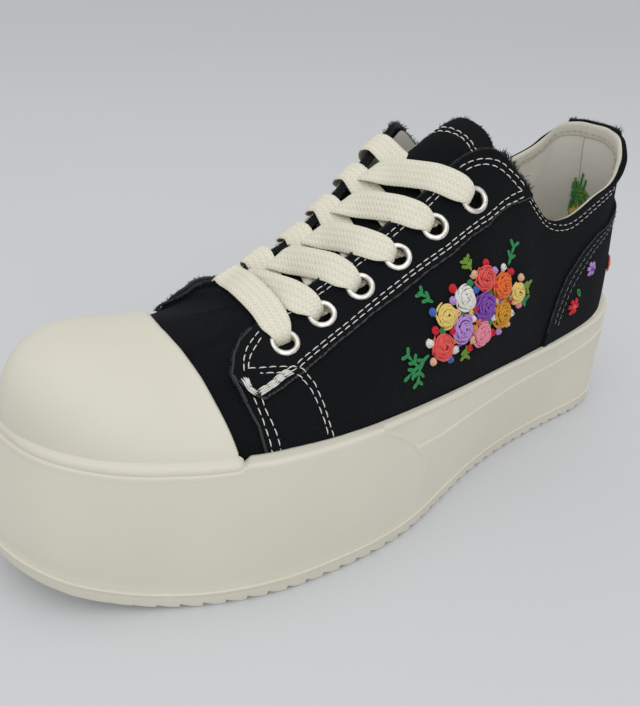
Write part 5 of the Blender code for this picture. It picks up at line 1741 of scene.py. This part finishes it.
# (s, z, radius, colour) of the roses and knots; (start, end, leaf length, colour) of the sprigs
ROSES = [(130.6, 70.4, 5, "coral"), (127.2, 80.4, 5, "pale yellow"), (119.6, 74, 5.4, "lilac"),
         (116.8, 84.6, 5, "white"), (109, 69.6, 5, "pink"), (107.4, 79.4, 5.5, "purple"),
         (96.8, 73.8, 5.1, "ochre"), (96.4, 84.6, 5.4, "orange"), (106.2, 89.6, 4.6, "coral"),
         (87.6, 79.4, 4.6, "pale yellow")]
KNOTS = [(125, 74.6, 1.7, "red"), (124, 67.6, 1.8, "white"), (126.6, 64.6, 1.6, "blue"),
         (121.6, 80.2, 1.7, "peach"), (121.8, 88.4, 1.8, "red"), (122.6, 84.6, 1.7, "lilac"),
         (112.6, 80, 1.8, "red"), (113.6, 76.4, 1.5, "white"), (114.4, 68.6, 1.8, "peach"),
         (116, 65.8, 1.6, "red"), (111.4, 86.4, 1.7, "blue"), (111.2, 91.8, 1.8, "peach"),
         (113.2, 72.6, 1.5, "ochre"), (102.4, 74, 1.7, "white"), (102.8, 68, 1.8, "red"),
         (101.2, 85.8, 1.7, "red"), (101, 79.8, 1.7, "peach"), (100.8, 91.2, 1.7, "lilac"),
         (98.4, 67.2, 1.7, "lilac"), (91.6, 77.6, 1.6, "red"), (90.8, 72.4, 1.8, "white"),
         (90.6, 88.6, 1.8, "red"), (133.2, 76.6, 1.8, "red"), (136.4, 73, 1.8, "white"),
         (135.8, 66.4, 1.7, "peach"), (132.6, 82.4, 1.7, "blue"), (95.6, 91.4, 1.7, "white"),
         (91.8, 81.6, 1.5, "blue"), (104, 83.8, 1.4, "green"), (104.6, 72.6, 1.5, "green"),
         (119.4, 79.2, 1.4, "green"), (124, 71, 1.4, "ochre"), (113.6, 89, 1.5, "green"),
         (101.8, 77, 1.4, "orange"), (110.8, 75, 1.5, "orange"), (92.4, 68.4, 1.5, "peach"),
         (85.6, 74.4, 1.7, "pink"), (84.6, 85, 1.8, "peach"), (114.8, 79, 1.4, "pale yellow"),
         (98.8, 79, 1.4, "purple"), (121.6, 69.2, 1.4, "purple"), (129.8, 75.6, 1.4, "green"),
         (105, 94.8, 1.6, "red"), (93, 79, 1.4, "green")]
SPRIGS = [((137.6, 69.2), (147.4, 64.8), 3.2, "green"), ((143.4, 66.8), (146.8, 71.2), 2.9, "green"),
          ((142.4, 66.6), (143.4, 61.6), 2.9, "green"), ((131.4, 85.6), (134.6, 88.4), 3, "green"),
          ((112, 93.4), (113.4, 96), 3, "olive"), ((91.6, 91.6), (88.4, 97.4), 3.2, "green"),
          ((83.8, 81.4), (80.4, 80.6), 3.4, "olive"), ((84.6, 77.2), (81, 75.4), 3, "green"),
          ((117.2, 67), (117.6, 63.8), 3, "olive")]
# (row, share, radius, petal, heart) of the single flowers round the heel
HEEL_FLOWERS = [(4.78, 0.47, 3.4, "lilac", "purple"), (5.36, 0.27, 4, "red", "coral"),
                (-4.6, 0.42, 3.4, "coral", "pale yellow"), (-5.4, 0.3, 3.2, "lilac", "white"),
                (2.75, 0.36, 3.9, "coral", "pale yellow"), (-0.5, 0.5, 3.8, "pale yellow", "ochre")]
# (row, share, direction, colour) of the leaves round the heel
HEEL_LEAVES = [(5.15, 0.32, 2.2, "green"), (-4.9, 0.36, 4.6, "green"), (0.1, 0.56, 1.9, "green"),
               (-0.55, 0.585, 1.2, "olive"), (2.3, 0.45, 1.2, "green"), (-0.85, 0.54, 2.8, "green")]
# Length and width of those leaves
HEEL_LEAF = (4.2, 2.0)
FLOSS_LIFT = 0.05
# Threads that show inside the heel, above and below its middle
BACK_COLOURS_HIGH = ("green", "olive", "olive", "green")
BACK_COLOURS_LOW = ("pale yellow", "ochre", "pale yellow", "olive")


def make_embroidery():
    batch = Batch()
    face, heel_face = QUARTER_FACE + FLOSS_LIFT, COUNTER_FACE + FLOSS_LIFT
    for start, end, leaf, colour in SPRIGS:
        sprig(batch, start, end, leaf, FLOSS_KIND[colour], face)
    for s, z, radius, colour in ROSES:
        rose(batch, on_quarter(s, z), radius, FLOSS_KIND[colour], face)
    for s, z, radius, colour in KNOTS:
        knot(batch, on_quarter(s, z), radius, FLOSS_KIND[colour], face)
    for q, t, radius, petal, heart in HEEL_FLOWERS:
        daisy(batch, (q, t), radius, FLOSS_KIND[petal], FLOSS_KIND[heart], heel_face)
    for q, t, direction, colour in HEEL_LEAVES:
        chain(batch, (q, t), *HEEL_LEAF, direction, FLOSS_KIND[colour], heel_face)
    thread_backs(batch)
    batch.build("embroidery", FLOSS)


def thread_backs(batch):
    """Short crossing threads on the lining behind the heel flowers."""
    for _ in range(120):
        q = rng.uniform(-0.48, 0.40)
        t = rng.uniform(0.45, 0.67)
        q2, t2 = q + rng.normal(0, 0.16), t + rng.normal(0, 0.03)
        v = np.linspace(0, 1, 5)
        path = cloth(q + (q2 - q) * v, t + (t2 - t) * v, LINING_DEPTH - 0.3)
        colours = BACK_COLOURS_HIGH if t > 0.55 else BACK_COLOURS_LOW
        batch.tube(path, 0.55, skin_normal(q, t), 5, FLOSS_KIND[colours[rng.integers(0, 4)]])


# Floor, light and camera

SKY_LOW = (0.86, 0.87, 0.88, 1)
SKY_HIGH = (1.0, 1.0, 1.0, 1)
SKY_STRENGTH = 0.775
FLOOR_REACH = 6.0
FLOOR_COLOUR = (0.60, 0.61, 0.63)
FLOOR_CLOUDS = ((0.585, 0.60, 0.62), (0.61, 0.62, 0.64))
# Lamps: name, place, sides, watts
LAMPS = [("overhead", (0.30, -0.25, 1.2), 1.5, 4.7), ("side fill", (1.0, -0.35, 0.6), 0.9, 2.3)]
LAMP_TARGET = (0, 0, 0.05)
CAMERA_LENS = 36.511
CAMERA_SENSOR = 36.0
CAMERA_PLACE = (0.202542, -0.156294, 0.196094)
CAMERA_TURN = (60.267, -2.235, 56.449)


def make_stage():
    mesh = bpy.data.meshes.new("floor")
    corners = [(x * FLOOR_REACH, y * FLOOR_REACH, 0) for x, y in ((-1, -1), (1, -1), (1, 1), (-1, 1))]
    mesh.from_pydata(corners, [], [(0, 1, 2, 3)])
    floor = bpy.data.objects.new("floor", mesh)
    bpy.context.scene.collection.objects.link(floor)
    shader = Shader("pale floor", FLOOR_COLOUR, 0.75)
    shader.colour(shader.mix(shader.noise(shader.place(), 3.0, 2.0), *FLOOR_CLOUDS))
    mesh.materials.append(shader.material)


def add_lamp(name, place, size, watts):
    light = bpy.data.lights.new(name, "AREA")
    light.shape = "RECTANGLE"
    light.size, light.size_y = size, size
    light.energy = watts
    lamp = bpy.data.objects.new(name, light)
    lamp.location = place
    lamp.rotation_euler = aim(np.array(LAMP_TARGET) - np.array(place))
    bpy.context.scene.collection.objects.link(lamp)


def aim(direction):
    """Angles that turn a lamp's own -Z along a direction."""
    d = direction / np.linalg.norm(direction)
    tilt = np.arccos(-d[2])
    turn = np.arctan2(-d[0], d[1])
    return tilt, 0.0, turn


def make_light_and_camera():
    world = bpy.data.worlds.new("studio")
    bpy.context.scene.world = world
    world.use_nodes = True
    tree = world.node_tree
    sky = tree.nodes["Background"]
    split = tree.nodes.new("ShaderNodeSeparateXYZ")
    tree.links.new(tree.nodes.new("ShaderNodeTexCoord").outputs["Generated"], split.inputs[0])
    ramp = tree.nodes.new("ShaderNodeValToRGB")
    ramp.color_ramp.elements[0].position = 0.0
    ramp.color_ramp.elements[0].color = SKY_LOW
    ramp.color_ramp.elements[1].position = 0.85
    ramp.color_ramp.elements[1].color = SKY_HIGH
    tree.links.new(split.outputs[2], ramp.inputs[0])
    tree.links.new(ramp.outputs[0], sky.inputs["Color"])
    sky.inputs["Strength"].default_value = SKY_STRENGTH
    for lamp in LAMPS:
        add_lamp(*lamp)
    bpy.context.scene.view_settings.view_transform = "Standard"
    lens = bpy.data.cameras.new("camera")
    lens.lens = CAMERA_LENS
    lens.sensor_width = CAMERA_SENSOR
    lens.clip_start = 0.01
    camera = bpy.data.objects.new("camera", lens)
    camera.location = CAMERA_PLACE
    camera.rotation_euler = np.radians(CAMERA_TURN)
    bpy.context.scene.collection.objects.link(camera)
    bpy.context.scene.camera = camera


for make in (make_outsole, make_midsole, make_bead, make_cap, make_vamp, make_quarters, make_lining,
             make_rims, make_stays, make_lip, make_counter, make_tongue, make_insole, make_eyelets, make_lace,
             make_stitches, make_frays, make_embroidery, make_stage, make_light_and_camera):
    make()
